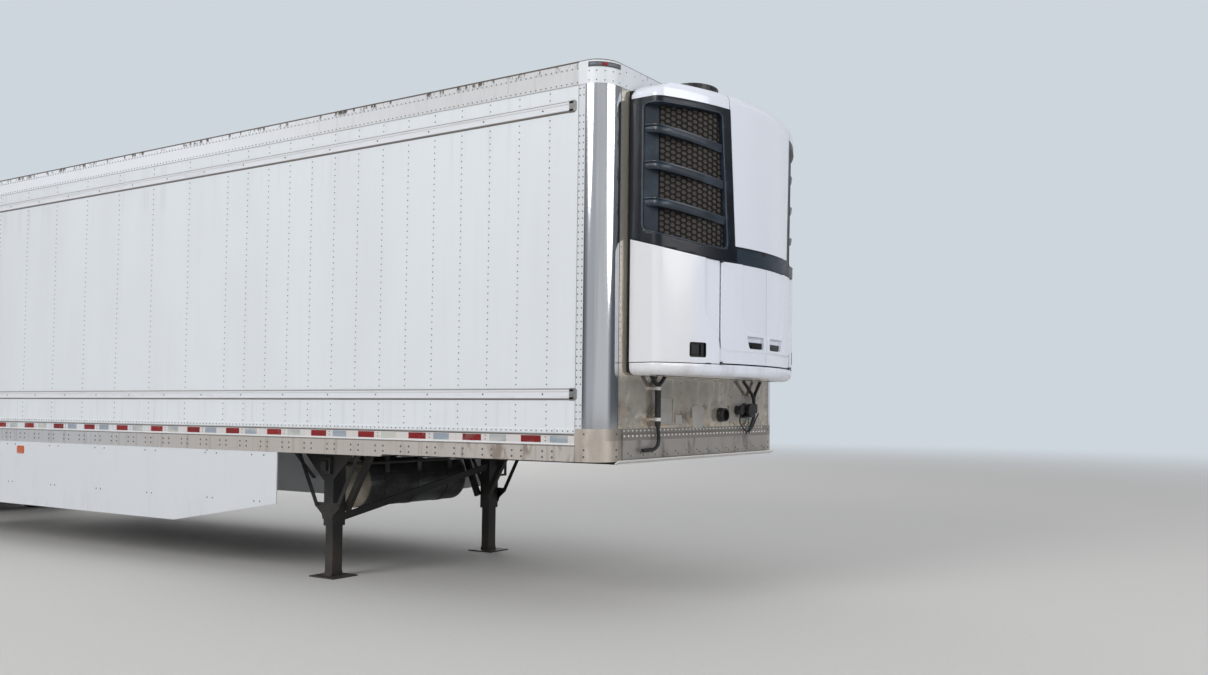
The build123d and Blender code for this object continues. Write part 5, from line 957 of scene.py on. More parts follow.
# Louvres: three curved black blades a side, each with a rounded upper lip over a dark slit, in front of a guard of
# pressed hexagons and the finned condenser coil.

LOUVRE_TOPS = (3.655, 3.381, 3.107)
GUARD_TOP = 3.812


def louvre_drop(x):
    """How far a louvre has dropped by the time it has come forward to x."""
    t = x - 7.904
    return -0.0782 * t + 0.5916 * t * t


def crisp(made, angle):
    """Keep the edges that turn by more than an angle sharp."""
    made.modifiers.new("crisp", "EDGE_SPLIT").split_angle = radians(angle)


blade_section = (
    (0.010, 0.000), (0.0035, -0.004), (0.0030, -0.010), (0.006, -0.0135), (0.014, -0.0160), (0.0145, -0.020),
    (0.009, -0.024), (0.007, -0.040), (0.008, -0.056), (0.014, -0.064), (0.079, -0.062), (0.079, 0.000),
)
blade_faces = (0.008, 0.0030, 0.0022, 0.0024, 0.0030, 0.0036, 0.0044, 0.0062, 0.0085, 0.014, 0.079, 0.079)
stations = [s for s in [1.287 - 0.02 * k for k in range(60)] if not BOW_END - 0.01 < s < EDGE_END + 0.01]
stations = sorted(stations + CORNER_STATIONS, reverse=True)
for side, sign in SIDES:
    blades = []
    for top in LOUVRE_TOPS:
        end = wedge_s(top - 0.12, 0.060)
        rings = []
        for s in [s for s in stations if s > end] + [end]:
            fall, slit = louvre_drop(min(on_unit(s, 0, 0)[0], 8.385)), smooth(s, 0.98, 1.10)
            rings.append([
                on_unit(sign * s, 0.006 + depth * slit + face * (1 - slit), top - fall + dz)
                for (depth, dz), face in zip(blade_section, blade_faces)
            ])
        blades.append(lofted(rings, flip=sign < 0))
    crisp(piece(f"louvres_{side}", *joined(blades), painted_lit_black, slot="unit_black"), 38)

reveal_section = ((1.2295, 0.012), (1.222, 0.018), (1.152, 0.086), (1.152, 0.089), (1.2295, 0.020))
for side, sign in SIDES:
    heights = np.linspace(band_edge(1.2) + 0.092, GUARD_TOP, 32)
    reveal = lofted([[on_unit(sign * s, d, z) for s, d in reveal_section] for z in heights], ends=(True, True))
    piece(f"window_reveal_{side}", *reveal, painted_lit_black, slot="unit_black", smooth=False)


def guard_depth(s):
    """How deep the guard lies: shallow beside the upper middle panel and deep at the unit's side."""
    return 0.036 + 0.050 * smooth(s, 0.60, 1.10)


guard_plastic = mottled(
    "guard_mesh", 16.0, rgb(5, 5, 6), rgb(13, 13, 14), 0.60, {"Specular IOR Level": 0.25}, 150.0, 0.0002
)
CELL_PITCH_Z, CELL_PITCH_S, CELL_BAR = 0.042, 0.044, 0.0046
cell_open = 1.0 - CELL_BAR / CELL_PITCH_Z * 2
cell_steps = ((1.0, 0.0), (cell_open, -0.0008), (cell_open, 0.0045))
cell_corners = [(u * CELL_PITCH_S / 1.5, v * CELL_PITCH_Z / 2 / sin(pi / 3)) for u, v in circle(1.0, 6)]
for side, sign in SIDES:
    cells = []
    for column, s in enumerate(np.arange(0.470, 1.26, CELL_PITCH_S)):
        for z in np.arange(2.772 + CELL_PITCH_Z / 2 * (column % 2), 3.825, CELL_PITCH_Z):
            if z > band_edge(s) + 0.070 and s > wedge_s(z, 0.062):
                rings = []
                for share, behind in cell_steps:
                    corners = [(s + ds * share, z + dz * share) for ds, dz in cell_corners]
                    rings.append([on_unit(sign * at, guard_depth(at) + behind, height) for at, height in corners])
                cells.append(lofted(rings))
    guard = piece(f"guard_mesh_{side}", *joined(cells), guard_plastic, slot="mesh_dark", smooth=False)
    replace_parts(guard, "unit_mesh")

coil_fins, place = new_material("coil_fins")
fins = ramp_up(abs(axis(place, 2) % 0.0032 / 0.0032 - 0.5), 0.15, 0.35)
tubes = ramp_up(abs(axis(place, 2) % 0.0254 / 0.0254 - 0.5), 0.38, 0.46)
dust = ramp_up(noise(place, 8.0, 6.0), 0.38, 0.70)
finish(
    coil_fins, place, over(0.7 * dust, over(tubes, rgb(74, 67, 63), rgb(52, 48, 46)), rgb(80, 71, 65)), 0.62,
    {"Metallic": 0.10}, fins + tubes, 0.0003,
)
dress(("unit_coil",), coil_fins)
for side, sign in SIDES:
    rings = []
    for s in np.linspace(0.44, 1.15, 48):
        foot, near, back = band_edge(s) + 0.055, guard_depth(s) + 0.0065, guard_depth(s) + 0.0085
        section = ((near, foot), (near, GUARD_TOP), (back, GUARD_TOP), (back, foot))
        rings.append([on_unit(sign * s, depth, z) for depth, z in section])
    sheet = lofted(rings, ends=(True, True))
    piece(f"coil_sheet_{side}", *sheet, coil_fins, slot="coil_dark", smooth=False)


# Cowl, tray and fans: the white cap that closes the top, the moulded tray that closes the foot with its rounded
# edge, and two black shrouds in the cap with wire guards over their blades.

cowl_paint, place = new_material("unit_cowl")
up = axis(place, 2)
seam = ramp_up(abs(abs(axis(place, 1)) - 0.485), 0.0022, 0.0012) * ramp_up(up, 3.852, 3.860)
settled = ramp_up(noise(place, 4.0, 6.0, 0.62), 0.44, 0.72) * ramp_up(up, 3.88, 3.98)
finish(
    cowl_paint, place, over(seam, over(0.22 * settled, rgb(233, 237, 247), rgb(140, 130, 116)), rgb(60, 60, 62)),
    0.15 + 0.3 * settled, {"Coat Weight": 0.5, "Coat Roughness": 0.06}, 1.0 - seam, 0.002,
)
dress(("unit_cowl",), cowl_paint)

tray_section = [(0.036, 1.880), (0.004, 1.880), (0.003, 1.878), (0.003, 1.850)]
for angle in range(10, 91, 10):
    tray_section.append((0.003 + 0.062 * (1 - cos(radians(angle))), 1.850 - 0.060 * sin(radians(angle))))
tray_section.append((0.20, 1.790))
arc = [-BACK_S + 0.024 * k for k in range(int(2 * BACK_S / 0.024) + 1)] + [BACK_S]
rings = [[on_unit(s, depth, z) for depth, z in tray_section] for s in arc]
vertices, faces = lofted(rings, closed=False, ends=(True, True), flip=True)
faces.append([len(tray_section) * k - 1 for k in range(len(arc), 0, -1)])
tray = piece("unit_tray_skin", vertices, faces, unit_paint, slot="unit_white")
crisp(tray, 60)
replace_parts(tray, "unit_tray")

fan_black = mottled("fan_black", 9.0, rgb(15, 15, 17), rgb(38, 37, 36), 0.42, bump=80.0, depth=0.0003)
dress(("unit_fans",), fan_black)

FAN_X, FAN_Y, GUARD_Z = 8.059, 0.5, 4.043


def wire_ring(centre, radius, wire, turns=40, sides=6):
    """A wire bent into a level ring."""
    rings = []
    for a in [2 * pi * k / turns for k in range(turns)]:
        section = circle(wire, sides, (radius, 0.0))
        rings.append([(centre[0] + r * cos(a), centre[1] + r * sin(a), centre[2] + rise) for r, rise in section])
    return lofted(rings, around=True, flip=True)


def wire_run(start, end, wire, sides=6):
    """A straight wire between two points, closed at its ends."""
    start, end = Vector(start), Vector(end)
    turn = (end - start).to_track_quat("Z", "Y")
    rings = [[tuple(at + turn @ Vector((u, v, 0))) for u, v in circle(wire, sides)] for at in (start, end)]
    return lofted(rings, ends=(True, True))


guards = []
for y in (-FAN_Y, FAN_Y):
    guards += [wire_ring((FAN_X, y, GUARD_Z + 0.003), 0.025 * k, 0.0028) for k in range(7, 1, -1)]
    for a in [pi / 8 + pi / 4 * i for i in range(8)]:
        spoke = [(FAN_X + reach * cos(a), y + reach * sin(a), GUARD_Z) for reach in (0.045, 0.178)]
        guards.append(wire_run(*spoke, 0.0032))
piece("fan_guards", *joined(guards), fan_black, slot="unit_black")


# Evaporator and engine: a plain white housing that blows along the load space's ceiling, and the engine, which
# stands behind the unit's front doors.

housing = mottled(
    "evaporator_housing", 3.0, rgb(222, 224, 226), rgb(198, 200, 203), 0.42, bump=30.0, depth=0.0006, detail=5.0
)
dress(("evaporator",), housing)
engine_paint, place = new_material("engine")
oily = ramp_up(noise(place, 7.0, 6.0, 0.7), 0.45, 0.68)
ribs = ramp_up(abs(axis(place, 1) % 0.060 / 0.060 - 0.5), 0.20, 0.30)
finish(
    engine_paint, place, over(oily, rgb(84, 88, 92), rgb(38, 36, 34)), 0.42 + 0.2 * oily, {"Metallic": 0.4},
    ribs + 0.4 * oily, 0.006,
)
dress(("unit_engine",), engine_paint)


# Nose furniture: two drain hoses that join in a Y and run down in clamps, a pair of lines that joins above the
# electrical sockets, the round port, the document holder and blank plates on the bright wall.

hose_rubber = mottled("hose_rubber", 18.0, rgb(20, 20, 21), rgb(40, 39, 38), 0.58, bump=140.0, depth=0.0003)
clamp_band = mottled(
    "hose_clamps", 50.0, rgb(236, 235, 232), rgb(196, 195, 192), 0.40, {"Metallic": 0.1}, 200.0, 0.0002
)
HOSE_REACH, HOSE_R, DRAIN_Y, LINE_Y = 0.042, 0.0145, -0.673, 0.785


def on_wall(reach, path):
    """Places that far forward of the nose wall, from (y, height) points."""
    return [(NOSE + reach, y, z) for y, z in path]


def hose_run(name, route, radius, made, body="trailer"):
    """A hose or wire on one smooth line."""
    line = bpy.data.curves.new(name, "CURVE")
    line.dimensions, line.bevel_depth, line.bevel_resolution, line.resolution_u = "3D", radius, 3, 10
    spline = line.splines.new("NURBS")
    spline.points.add(len(route) - 1)
    for point, at in zip(spline.points, route):
        point.co = (*at, 1)
    spline.order_u = 3
    spline.use_endpoint_u = True
    line.use_fill_caps = True
    line.materials.append(made)
    run = placed(name, line)
    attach(run, body)
    return run


drain = (
    (DRAIN_Y, 1.745), (DRAIN_Y, 1.60), (DRAIN_Y, 1.44), (-0.668, 1.385), (-0.656, 1.330), (-0.662, 1.265),
    (-0.700, 1.232), (-0.760, 1.224), (-0.860, 1.223),
)
drain_cover = [(DRAIN_Y, z) for z in (1.735, 1.60, 1.405)]
runs = [
    hose_run("drain_hose", on_wall(HOSE_REACH, drain), HOSE_R, hose_rubber),
    hose_run("drain_sleeve", on_wall(HOSE_REACH, drain_cover), 0.0230, hose_rubber),
]
for side, sign in SIDES:
    arm = [(DRAIN_Y + sign * dy, z) for dy, z in ((0.087, 1.7897), (0.052, 1.752), (0.010, 1.722), (0.0, 1.700))]
    runs.append(hose_run(f"drain_arm_{side}", on_wall(HOSE_REACH, arm), HOSE_R, hose_rubber))
for side, head in (("right", 0.600), ("left", 0.900)):
    lead = [(head + (LINE_Y - head) * share, z) for share, z in ((0.0, 1.789), (0.45, 1.728), (0.88, 1.665))]
    lead += [(0.787, 1.625), (0.794, 1.54)]
    runs.append(hose_run(f"line_{side}", on_wall(HOSE_REACH, lead), HOSE_R, hose_rubber))
tail = ((0.787, 1.64), (0.797, 1.52), (LINE_Y, 1.45), (0.742, 1.392), (0.700, 1.336))
runs.append(hose_run("line_tail", on_wall(HOSE_REACH, tail), HOSE_R, hose_rubber))
for run in runs:
    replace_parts(run, "nose_hoses")


def sleeve(centre, radius, length, sides=20):
    """An upright band round a hose."""
    x, y, z = centre
    half, bore = length / 2, radius - 0.003
    section = ((bore, -half), (radius, -half), (radius, half), (bore, half))
    return lofted([[(u, v, z + dz) for u, v in circle(r, sides, (x, y))] for r, dz in section])


clamps = [sleeve((NOSE + HOSE_REACH, DRAIN_Y, z), 0.0252, 0.026) for z in (1.697, 1.457)]
clamps += [slab(NOSE, NOSE + 0.024, -0.698, -0.648, z, z + 0.014) for z in (1.690, 1.450)]
piece("hose_clamps", *joined(clamps), clamp_band, slot="galvanised", smooth=False)

socket_black = mottled("socket_black", 22.0, rgb(15, 15, 16), rgb(40, 40, 42), 0.38, bump=100.0, depth=0.0004)
plate_steel = mottled(
    "socket_plate", 5.0, rgb(206, 203, 197), rgb(158, 153, 147), 0.32, {"Metallic": 0.45}, 30.0, 0.0006, 5.0
)


def turned_out(centre, profile, sides=28):
    """A round part that points forward from the nose wall: (reach, radius) steps about a centre (y, z)."""
    return lofted([on_wall(reach, circle(radius, sides, centre)) for reach, radius in profile], ends=(False, True))


def wall_slabs(*spans):
    """Blocks on the nose wall: (near, far, y, y, z, z) each."""
    return [slab(NOSE + near, NOSE + far, *rest) for near, far, *rest in spans]


small_socket = (
    (0.006, 0.042), (0.012, 0.042), (0.014, 0.036), (0.052, 0.036), (0.056, 0.039), (0.068, 0.039), (0.070, 0.033),
)
large_socket = (
    (0.006, 0.066), (0.014, 0.066), (0.018, 0.058), (0.060, 0.056), (0.066, 0.062), (0.090, 0.062), (0.094, 0.052),
)
socket_parts = [turned_out((0.547, 1.530), small_socket), turned_out((0.677, 1.528), large_socket)]
socket_parts += wall_slabs(
    (0.050, 0.074, 0.520, 0.574, 1.560, 1.572), (0.020, 0.088, 0.735, 0.775, 1.505, 1.585),
    (0.006, 0.060, 0.600, 0.650, 1.462, 1.480),
)
sockets = piece("nose_sockets", *joined(socket_parts), socket_black, slot="rubber_black", smooth=False)
port_profile = (
    (0.0, 0.062), (0.016, 0.062), (0.020, 0.058), (0.056, 0.058), (0.060, 0.054), (0.058, 0.046), (0.022, 0.044),
)
port = piece(
    "nose_port", *turned_out((0.290, 1.490), port_profile), socket_black, slot="rubber_black", smooth=False
)
plates = wall_slabs(
    (0.0, 0.006, 0.446, 0.951, 1.430, 1.658), (0.0, 0.004, -0.142, 0.030, 1.384, 1.567),
    (0.0, 0.004, -0.380, -0.290, 1.418, 1.490), (0.0, 0.004, -0.640, -0.624, 1.392, 1.640),
)
wall_plates = piece("nose_plates", *joined(plates), plate_steel, slot="brushed_sill", smooth=False)
pocket = wall_slabs(
    (0.0, 0.006, -0.600, -0.420, 1.420, 1.620), (0.0, 0.014, -0.600, -0.592, 1.420, 1.620),
    (0.0, 0.014, -0.428, -0.420, 1.420, 1.620), (0.0, 0.014, -0.592, -0.428, 1.420, 1.428),
    (0.0, 0.014, -0.592, -0.428, 1.520, 1.526),
)
holder = piece("document_holder", *joined(pocket), plate_steel, slot="brushed_sill", smooth=False)
for made in (sockets, port, wall_plates, holder):
    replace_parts(made, "nose_fittings")
plate_bolts = on_wall(0.006, [(y, z) for y in (0.462, 0.700, 0.935) for z in (1.446, 1.642)])
plate_bolts += on_wall(0.004, [(y, z) for y in (-0.134, 0.022) for z in (1.392, 1.559)])
piece("plate_bolts", *domes(plate_bolts, (1, 0, 0), 0.006), rivet_metal_shade_and_dirt, slot="brushed_sill")
for side, path in (
    ("right", ((0.536, 1.500), (0.545, 1.44), (0.590, 1.385), (0.650, 1.355), (0.682, 1.318))),
    ("left", ((0.842, 1.500), (0.835, 1.45), (0.800, 1.392), (0.750, 1.350), (0.722, 1.331))),
):
    route = on_wall(0.062, path[:1]) + on_wall(0.034, path[1:])
    hose_run(f"socket_lead_{side}", route, 0.006, hose_rubber)
lead_teal = mottled("lead_teal", 40.0, rgb(20, 120, 128), rgb(18, 84, 90), 0.45)
thin_path = ((0.700, 1.470), (0.706, 1.40), (0.700, 1.352), (0.705, 1.320))
hose_run("thin_lead", on_wall(0.040, thin_path), 0.004, lead_teal)


# Underframe and landing gear: galvanised cross members under the floor, and black square legs with their saddles,
# braces, gearbox, cross shaft and crank, dusty from the road and scraped at the feet.

zinc, place = new_material("galvanised")
spangle = place.node("TexVoronoi", inputs={"Vector": place, "Scale": 55.0})
dusty = ramp_up(noise(place, 3.0, 6.0), 0.40, 0.68)
finish(
    zinc, place, over(0.65 * dusty, over(spangle, rgb(122, 124, 126), rgb(150, 152, 153)), rgb(82, 75, 68)), 0.50,
    {"Metallic": 0.5}, spangle, 0.0003,
)
dress(("cross_members", "slide_rails", "lock_rods_left", "lock_rods_right"), zinc)

gear_paint, place = new_material("gear_black")
chipped = ramp_up(noise(place, 26.0, 6.0, 0.7), 0.64, 0.70)
dust = ramp_up(noise(place, 3.5, 6.0, 0.62), 0.38, 0.74)
low = ramp_up(axis(place, 2), 0.45, 0.0)
painted = over(0.6 * chipped, rgb(26, 26, 27), rgb(74, 52, 40))
finish(
    gear_paint, place, over(0.25 * dust + 0.30 * low, painted, rgb(96, 86, 76)), 0.48 + 0.2 * dust,
    height=dust + 0.5 * chipped, depth=0.0008,
)
dress((
    "landing_legs", "landing_braces", "skirt_struts", "bogie_frame", "trailing_arms", "axles", "air_tanks",
), gear_paint)

LEG_X, LEG_Y, LEG_FACE = 4.459, 0.940, 1.0035
gearbox = []
for y, sign in ((-LEG_Y, -1), (LEG_Y, 1)):
    gearbox += [
        slab(LEG_X - 0.064, LEG_X + 0.064, y + sign * 0.064 - 0.001, y + sign * 0.105, 0.930, 1.085),
        slab(LEG_X - 0.034, LEG_X + 0.034, y + sign * 0.100, y + sign * 0.128, 0.962, 1.052),
    ]
gear_box = piece("landing_gearboxes", *joined(gearbox), gear_paint, slot="frame_black", smooth=False)
edge = gear_box.modifiers.new("edge", "BEVEL")
edge.width, edge.segments = 0.005, 2


def flat_plate(outline, inner, outer):
    """A plate on the right-hand side from its (x, height) outline, between two distances out."""
    return lofted([[(x, -y, z) for x, z in outline] for y in (outer, inner)], ends=(True, True), flip=True)


saddle = ((-0.060, 0.550), (0.060, 0.550), (0.165, 0.632), (0.165, 0.672), (-0.165, 0.672), (-0.165, 0.632))
strap = ((0.160, 0.630), (0.440, 1.141), (0.395, 1.141), (0.118, 0.640))
stays = [
    flat_plate([(LEG_X + dx, z) for dx, z in saddle], LEG_FACE, LEG_FACE + 0.008),
    flat_plate([(LEG_X - dx, z) for dx, z in strap[::-1]], LEG_FACE + 0.008, LEG_FACE + 0.015),
    flat_plate([(LEG_X + dx, z) for dx, z in strap], LEG_FACE + 0.008, LEG_FACE + 0.015),
]
piece("leg_stays", *both(*stays), gear_paint, smooth=False, slot="frame_black")
leg_bolts = [(LEG_X + dx, -LEG_FACE, z) for dx in (-0.05, 0.05) for z in (0.90, 0.96)]
leg_bolts += [(LEG_X + dx, -LEG_FACE - 0.008, 0.600) for dx in (-0.05, 0.05)]
leg_bolts += [(LEG_X + dx, -LEG_FACE - 0.015, 0.655) for dx in (-0.148, 0.148)]
piece("leg_bolts", *both(domes(leg_bolts, (0, -1, 0), 0.011, 0.010)), gear_paint, slot="frame_black")


# Fuel tank: a rolled cylinder slung across the frame in steel straps on rubber, with dished ends painted paler
# than the shell, as painted light.

tank_metal, place = new_material("tank_metal")
brushed = noise(place, 1.0, 4.0, 0.6, (40.0, 3.0, 40.0))
dirt = ramp_up(noise(place, 3.0, 6.0), 0.36, 0.66)
shell = over(0.70 * dirt, over(brushed, rgb(104, 106, 109), rgb(74, 76, 79)), rgb(52, 46, 41))
# Painted light: the dished ends are painted paler than the shell, with the dirt mottled into them.
painted_light_ends = ramp_up(abs(axis(place, 1) - 0.16), 0.570, 0.610)
finish(
    tank_metal, place, over(0.85 * painted_light_ends, shell, over(dirt, rgb(186, 176, 160), rgb(132, 122, 108))),
    0.36 + 0.2 * dirt, {"Metallic": 0.7}, brushed, 0.0004,
)
dress(("fuel_tank",), tank_metal)


# Side skirts: white composite sheets bolted to the struts in pairs, with an amber marker lamp on each, and the
# clearance and tail lamps: ribbed lenses with rounded corners.

skirt_paint, place = new_material("skirt_white")
splash = ramp_up(noise(place, 1.0, 6.0, 0.65, (5.0, 5.0, 2.0)), 0.48, 0.75)
darker_share = splash * (0.04 + 0.12 * ramp_up(axis(place, 2), 0.75, 0.44))
finish(
    skirt_paint, place, over(darker_share, rgb(216, 219, 223), DIRT), 0.36 + 0.2 * splash,
    height=noise(place, 1.6, 3.0), depth=0.004,
)
dress(("skirts",), skirt_paint)
SKIRT_FACE = 1.293
skirt_bolts = [(NOSE - 4.720, -SKIRT_FACE, 1.121)]
for station in (3.950, 4.660, 5.655, 6.570, 7.467, 8.365, 9.270, 10.170):
    skirt_bolts += [(NOSE - station + dx, -SKIRT_FACE, 0.678) for dx in (-0.042, 0.042)]
    skirt_bolts += [(NOSE - station + dx, -SKIRT_FACE, 1.097) for dx in (-0.088, 0.088)]
piece("skirt_bolts", *both(domes(skirt_bolts, (0, -1, 0), 0.0085, 0.004, 8)), rivet_metal_shade_and_dirt, slot="rail_white")

LENS_STEPS = ((1.0, 0.0), (0.995, 0.55), (0.93, 0.85), (0.75, 0.97), (0.40, 1.0))


def lamp_lenses(name, colour, blocks, ribs=90.0):
    """Domed lamp lenses of one colour: (centre, facing, across, half width, half height, depth, corner) each."""
    plastic, place = new_material(name)
    flutes = ramp_up(abs(axis(place, 2) * ribs % 1.0 - 0.5), 0.10, 0.40)
    finish(
        plastic, place, over(flutes, colour, (*[0.45 * c for c in colour[:3]], 1)), 0.12,
        {"Coat Weight": 0.7, "Coat Roughness": 0.04}, flutes, 0.0008,
    )
    parts = []
    for centre, facing, across, wide, high, depth, corner in blocks:
        centre, facing, across = Vector(centre), Vector(facing).normalized(), Vector(across).normalized()
        upward = facing.cross(across)
        outline = rounded([(-wide, -high), (wide, -high), (wide, high), (-wide, high)], corner, 6)
        rings = [
            [tuple(centre + across * u * share + upward * v * share + facing * depth * lift) for u, v in outline]
            for share, lift in LENS_STEPS
        ]
        parts.append(lofted(rings, ends=(False, True)))
    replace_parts(piece(name, *joined(parts), plastic, slot="lamp_lens"), "lamps")


lamp_lenses("lamps_amber", rgb(228, 96, 8), [
    ((NOSE - 8.163, sign * SKIRT_FACE, 1.040), (0, sign, 0), (1, 0, 0), 0.076, 0.043, 0.0065, 0.024)
    for sign in (-1, 1)
])
corner_out = 0.1855 / 2 ** 0.5
red_lamps = [
    (
        (CORNER_X + corner_out, sign * (CORNER_Y + corner_out), 4.067), (1, sign, 0), (-sign, 1, 0),
        0.026, 0.011, 0.008, 0.008,
    )
    for sign in (-1, 1)
]
red_lamps += [((REAR, y, 4.020), (-1, 0, 0), (0, 1, 0), 0.050, 0.020, 0.008, 0.016) for y in (-0.15, 0.0, 0.15)]
red_lamps += [
    ((REAR, sign * y, 1.240), (-1, 0, 0), (0, 1, 0), 0.055, 0.055, 0.008, 0.050)
    for y in (0.56, 0.70) for sign in (-1, 1)
]
lamp_lenses("lamps_red", rgb(150, 20, 18), red_lamps)


# Wheels and tyres: dual pairs of white steel disc wheels on hubs with oil caps, ten nuts each, and ribbed tyres
# with a bead, a bulged side and rounded shoulders.

wheel_paint, place = new_material("wheel_white")
brake_dust = ramp_up(noise(place, 9.0, 6.0, 0.65), 0.40, 0.72)
finish(
    wheel_paint, place, over(0.55 * brake_dust, rgb(214, 215, 216), rgb(96, 86, 78)), 0.36 + 0.25 * brake_dust,
    height=noise(place, 60.0), depth=0.0004,
)
hub_metal = mottled(
    "hub_metal", 14.0, rgb(150, 150, 151), rgb(88, 84, 80), 0.35, {"Metallic": 0.8}, 80.0, 0.0004, 6.0
)
tyre_rubber, place = new_material("tyre_rubber")
muddy = ramp_up(noise(place, 7.0, 6.0, 0.62), 0.44, 0.74)
finish(
    tyre_rubber, place, over(0.45 * muddy, rgb(26, 26, 27), rgb(78, 70, 62)), 0.68, height=noise(place, 130.0),
    depth=0.0006,
)

TYRE_R, GROOVE_R = 0.508, 0.496
WHEEL_XS = (("front", NOSE - 12.4775), ("rear", NOSE - 13.7225))
TRACK, SPREAD = 0.9845, 0.170
tread = []
for at in (-0.079, -0.040, 0.0, 0.040, 0.079):
    tread += [(at - 0.0165, TYRE_R), (at + 0.0165, TYRE_R), (at + 0.0172, GROOVE_R), (at + 0.0208, GROOVE_R)]
wall_profile = [
    (-0.107, 0.2865), (-0.117, 0.290), (-0.122, 0.300), (-0.1255, 0.312), (-0.1285, 0.313), (-0.1300, 0.318),
    (-0.1340, 0.345), (-0.1385, 0.375), (-0.1400, 0.400), (-0.1415, 0.402), (-0.1415, 0.412), (-0.1400, 0.414),
    (-0.1380, 0.445), (-0.1330, 0.466), (-0.1330, 0.472), (-0.1290, 0.476), (-0.1210, 0.491), (-0.109, 0.501),
    (-0.101, 0.505),
]
tyre_profile = wall_profile + tread[:-2] + [(-y, r) for y, r in reversed(wall_profile)]
barrel = [
    (0.111, 0.286), (0.111, 0.296), (0.113, 0.2990), (0.116, 0.2985), (0.119, 0.295), (0.118, 0.287),
    (0.112, 0.279), (0.096, 0.2755), (0.066, 0.263), (-0.030, 0.262), (-0.062, 0.274), (-0.112, 0.279),
    (-0.118, 0.287), (-0.119, 0.295), (-0.116, 0.2985), (-0.113, 0.2990), (-0.111, 0.296), (-0.111, 0.286),
    (-0.066, 0.2845), (-0.035, 0.271), (0.060, 0.271), (0.092, 0.2845), (0.111, 0.286),
]
hub_profile = [
    (0.008, 0.150), (0.022, 0.108), (0.060, 0.104), (0.066, 0.097), (0.150, 0.082), (0.156, 0.088), (0.166, 0.088),
    (0.170, 0.078), (0.208, 0.076), (0.215, 0.068), (0.215, 0.030), (0.212, 0.026), (0.212, 0.001),
]
drum_profile = [
    (-0.065, 0.047), (-0.065, 0.108), (-0.025, 0.108), (-0.025, 0.211), (-0.211, 0.211), (-0.211, 0.225),
    (-0.154, 0.225), (-0.150, 0.221), (-0.064, 0.221), (-0.060, 0.225), (-0.016, 0.225), (-0.011, 0.222),
    (-0.008, 0.150),
]


def lathed(profile, sides, turn=0.0):
    """A round part about the cross-wise axis at the origin, from (y, radius) steps."""
    rings = [[(u, y, v) for u, v in circle(radius, sides, turn=turn)] for y, radius in profile]
    return lofted(rings, flip=True)


def moved(part, offset):
    """(vertices, faces) shifted."""
    vertices, faces = part
    return np.asarray(vertices) + np.array(offset), faces


def dish(radius):
    """How far the wheel's disc stands out from its bolted face at a radius."""
    return 0.011 + 0.060 * smooth(radius, 0.165, 0.262) + 0.006 * smooth(radius, 0.190, 0.168)


hand_holes = [circle(0.026, 20, centre) for centre in circle(0.200, 10, turn=pi / 10)]
flat = filled([circle(0.2625, 72), circle(0.108, 36)] + hand_holes)
for a in range(24):
    cut(flat, (0, 0, 0), (sin(pi * a / 24), cos(pi * a / 24), 0))
for at in np.arange(-0.25, 0.26, 0.02):
    cut(flat, (at, 0, 0), (1, 0, 0))
    cut(flat, (0, at, 0), (0, 1, 0))
flat.verts.index_update()
disc_points = [(v.co.x, v.co.y) for v in flat.verts]
disc_faces = [[v.index for v in f.verts] for f in flat.faces]
flat.free()


def disc(face_sign):
    """The disc of one wheel with its hand holes, bolted back to back with the other one."""
    vertices = [(u, face_sign * (dish(hypot(u, v)) + layer), v) for layer in (0.0, -0.009) for u, v in disc_points]
    count = len(disc_points)
    faces = [f[::-1] for f in disc_faces] + [[count + i for i in f] for f in disc_faces]
    edges = {pair for f in disc_faces for pair in zip(f, f[1:] + f[:1])}
    faces += [(count + b, count + a, a, b) for a, b in sorted(edges) if (b, a) not in edges]
    return vertices, [f if face_sign > 0 else f[::-1] for f in faces]


nuts = []
for centre in circle(0.143, 10):
    steps = ((0.019, 0.014), (0.019, 0.038), (0.011, 0.043), (0.011, 0.056))
    rings = [[(u, y, v) for u, v in circle(radius, 6, centre)] for radius, y in steps]
    nuts.append(lofted(rings, ends=(False, True), flip=True))

wheel_parts = [moved(lathed(barrel, 64), (0, at, 0)) for at in (-SPREAD, SPREAD)] + [disc(1), disc(-1)]
hub_parts = [lathed(hub_profile, 40), lathed(drum_profile, 48)] + nuts
tyre_parts = [moved(lathed(tyre_profile, 96, pi / 96), (0, at, 0)) for at in (-SPREAD, SPREAD)]
for end, x in WHEEL_XS:
    for side, sign in reversed(SIDES):
        for name, parts, made, node, slot, split in (
            ("wheels", wheel_parts, wheel_paint, "wheels", "wheel_white", 35),
            ("hubs", hub_parts, hub_metal, "wheels", "wheel_white", 35),
            ("tyres", tyre_parts, tyre_rubber, "tyres", "tyre", 50),
        ):
            part = moved(joined(parts), (0, TRACK, 0))
            part = moved(part if sign > 0 else mirrored(part), (x, 0, TYRE_R))
            round_part = piece(f"{name}_{end}_{side}_detail", *part, made, f"{end}_{side}_wheel", slot)
            crisp(round_part, split)
            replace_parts(round_part, f"{node}_{end}_{side}")


# Rear end: white doors in a galvanised frame, with black rubber seals round their edges, hinge straps, dock
# bumpers, a guard beam and mud flaps, and the trodden aluminium floor inside.

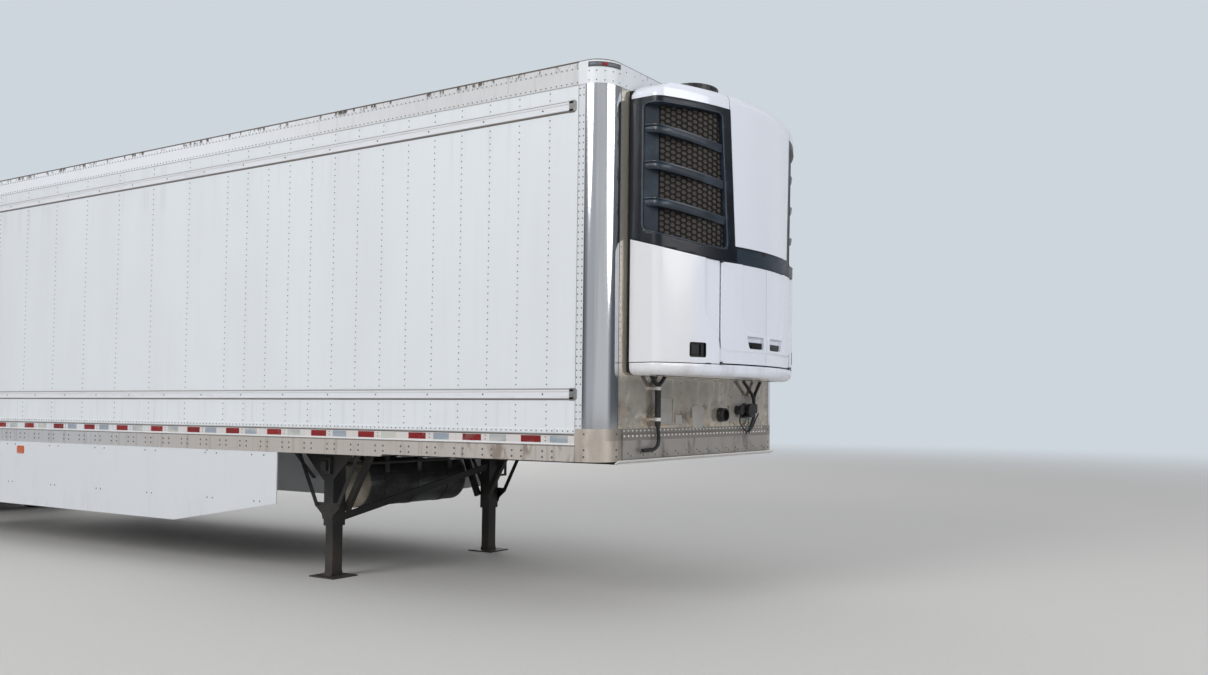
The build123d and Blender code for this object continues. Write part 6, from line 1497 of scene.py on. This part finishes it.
door_paint, place = new_material("door_white")
streaked = streaks(place, 12.0)
finish(
    door_paint, place, over(0.22 * streaked, rgb(224, 227, 229), DIRT), 0.34 + 0.2 * streaked,
    height=noise(place, 2.0, 3.0), depth=0.002,
)
dress(("rear_door_left", "rear_door_right"), door_paint)
frame_zinc, place = new_material("rear_frame_zinc")
spots = place.node("TexVoronoi", inputs={"Vector": place, "Scale": 38.0})
worn = ramp_up(noise(place, 5.0, 6.0), 0.40, 0.80)
galvanised = over(spots, rgb(176, 178, 180), rgb(198, 199, 200))
finish(
    frame_zinc, place, over(0.3 * worn, galvanised, rgb(108, 98, 88)), 0.42, {"Metallic": 0.6}, spots, 0.0003
)
dress(("rear_posts", "rear_header", "rear_sill", "rear_guard"), frame_zinc)
seal_rubber = mottled("seal_rubber", 15.0, rgb(18, 18, 19), rgb(44, 42, 41), 0.7, bump=90.0)
dress(("mud_flaps", "dock_bumpers", "air_springs"), seal_rubber)
shock_paint = mottled("shock_grey", 10.0, rgb(92, 94, 98), rgb(48, 46, 44), 0.45, {"Metallic": 0.4}, detail=6.0)
dress(("shock_absorbers",), shock_paint)

SEAL_INNER, SEAL_OUTER, SEAL_LOW, SEAL_HIGH, SEAL_W = 0.006, 1.199, 1.400, 3.915, 0.016
for side, sign in SIDES:
    rear_door = f"{side}_rear_door"
    inner, outer = SEAL_INNER + SEAL_W, SEAL_OUTER - SEAL_W
    strips = [
        slab(REAR - 0.0035, REAR + 0.001, sign * y0, sign * y1, z0, z1)
        for y0, y1, z0, z1 in (
            (SEAL_INNER, inner, SEAL_LOW, SEAL_HIGH), (outer, SEAL_OUTER, SEAL_LOW, SEAL_HIGH),
            (inner, outer, SEAL_LOW, SEAL_LOW + SEAL_W), (inner, outer, SEAL_HIGH - SEAL_W, SEAL_HIGH),
        )
    ]
    piece(f"door_seals_{side}", *joined(strips), seal_rubber, rear_door, "rubber_black", smooth=False)
    bolts = [
        (REAR - 0.012, sign * y, z + dz)
        for z in (1.560, 2.240, 2.920, 3.700) for y in (0.975, 1.055, 1.135) for dz in (-0.015, 0.015)
    ]
    piece(f"hinge_bolts_{side}", *domes(bolts, (-1, 0, 0), 0.008), rivet_metal_shade_and_dirt, rear_door, "galvanised")
    bolts = [
        (REAR - 0.006, sign * (y + dy), z)
        for z in (1.600, 2.300, 3.000, 3.640) for y in (0.330, 0.860) for dy in (-0.034, 0.034)
    ]
    piece(f"guide_bolts_{side}", *domes(bolts, (-1, 0, 0), 0.007), rivet_metal_shade_and_dirt, rear_door, "galvanised")

deck_metal, place = new_material("floor_deck")
trodden = ramp_up(noise(place, 3.0, 6.0, 0.62, (0.4, 1.0, 1.0)), 0.40, 0.66)
finish(
    deck_metal, place, over(0.6 * trodden, rgb(182, 183, 184), rgb(122, 118, 112)), 0.38 + 0.15 * trodden,
    {"Metallic": 0.8}, noise(place, 1.0, 4.0, 0.6, (4.0, 120.0, 4.0)), 0.0004,
)
dress(("floor",), deck_metal)
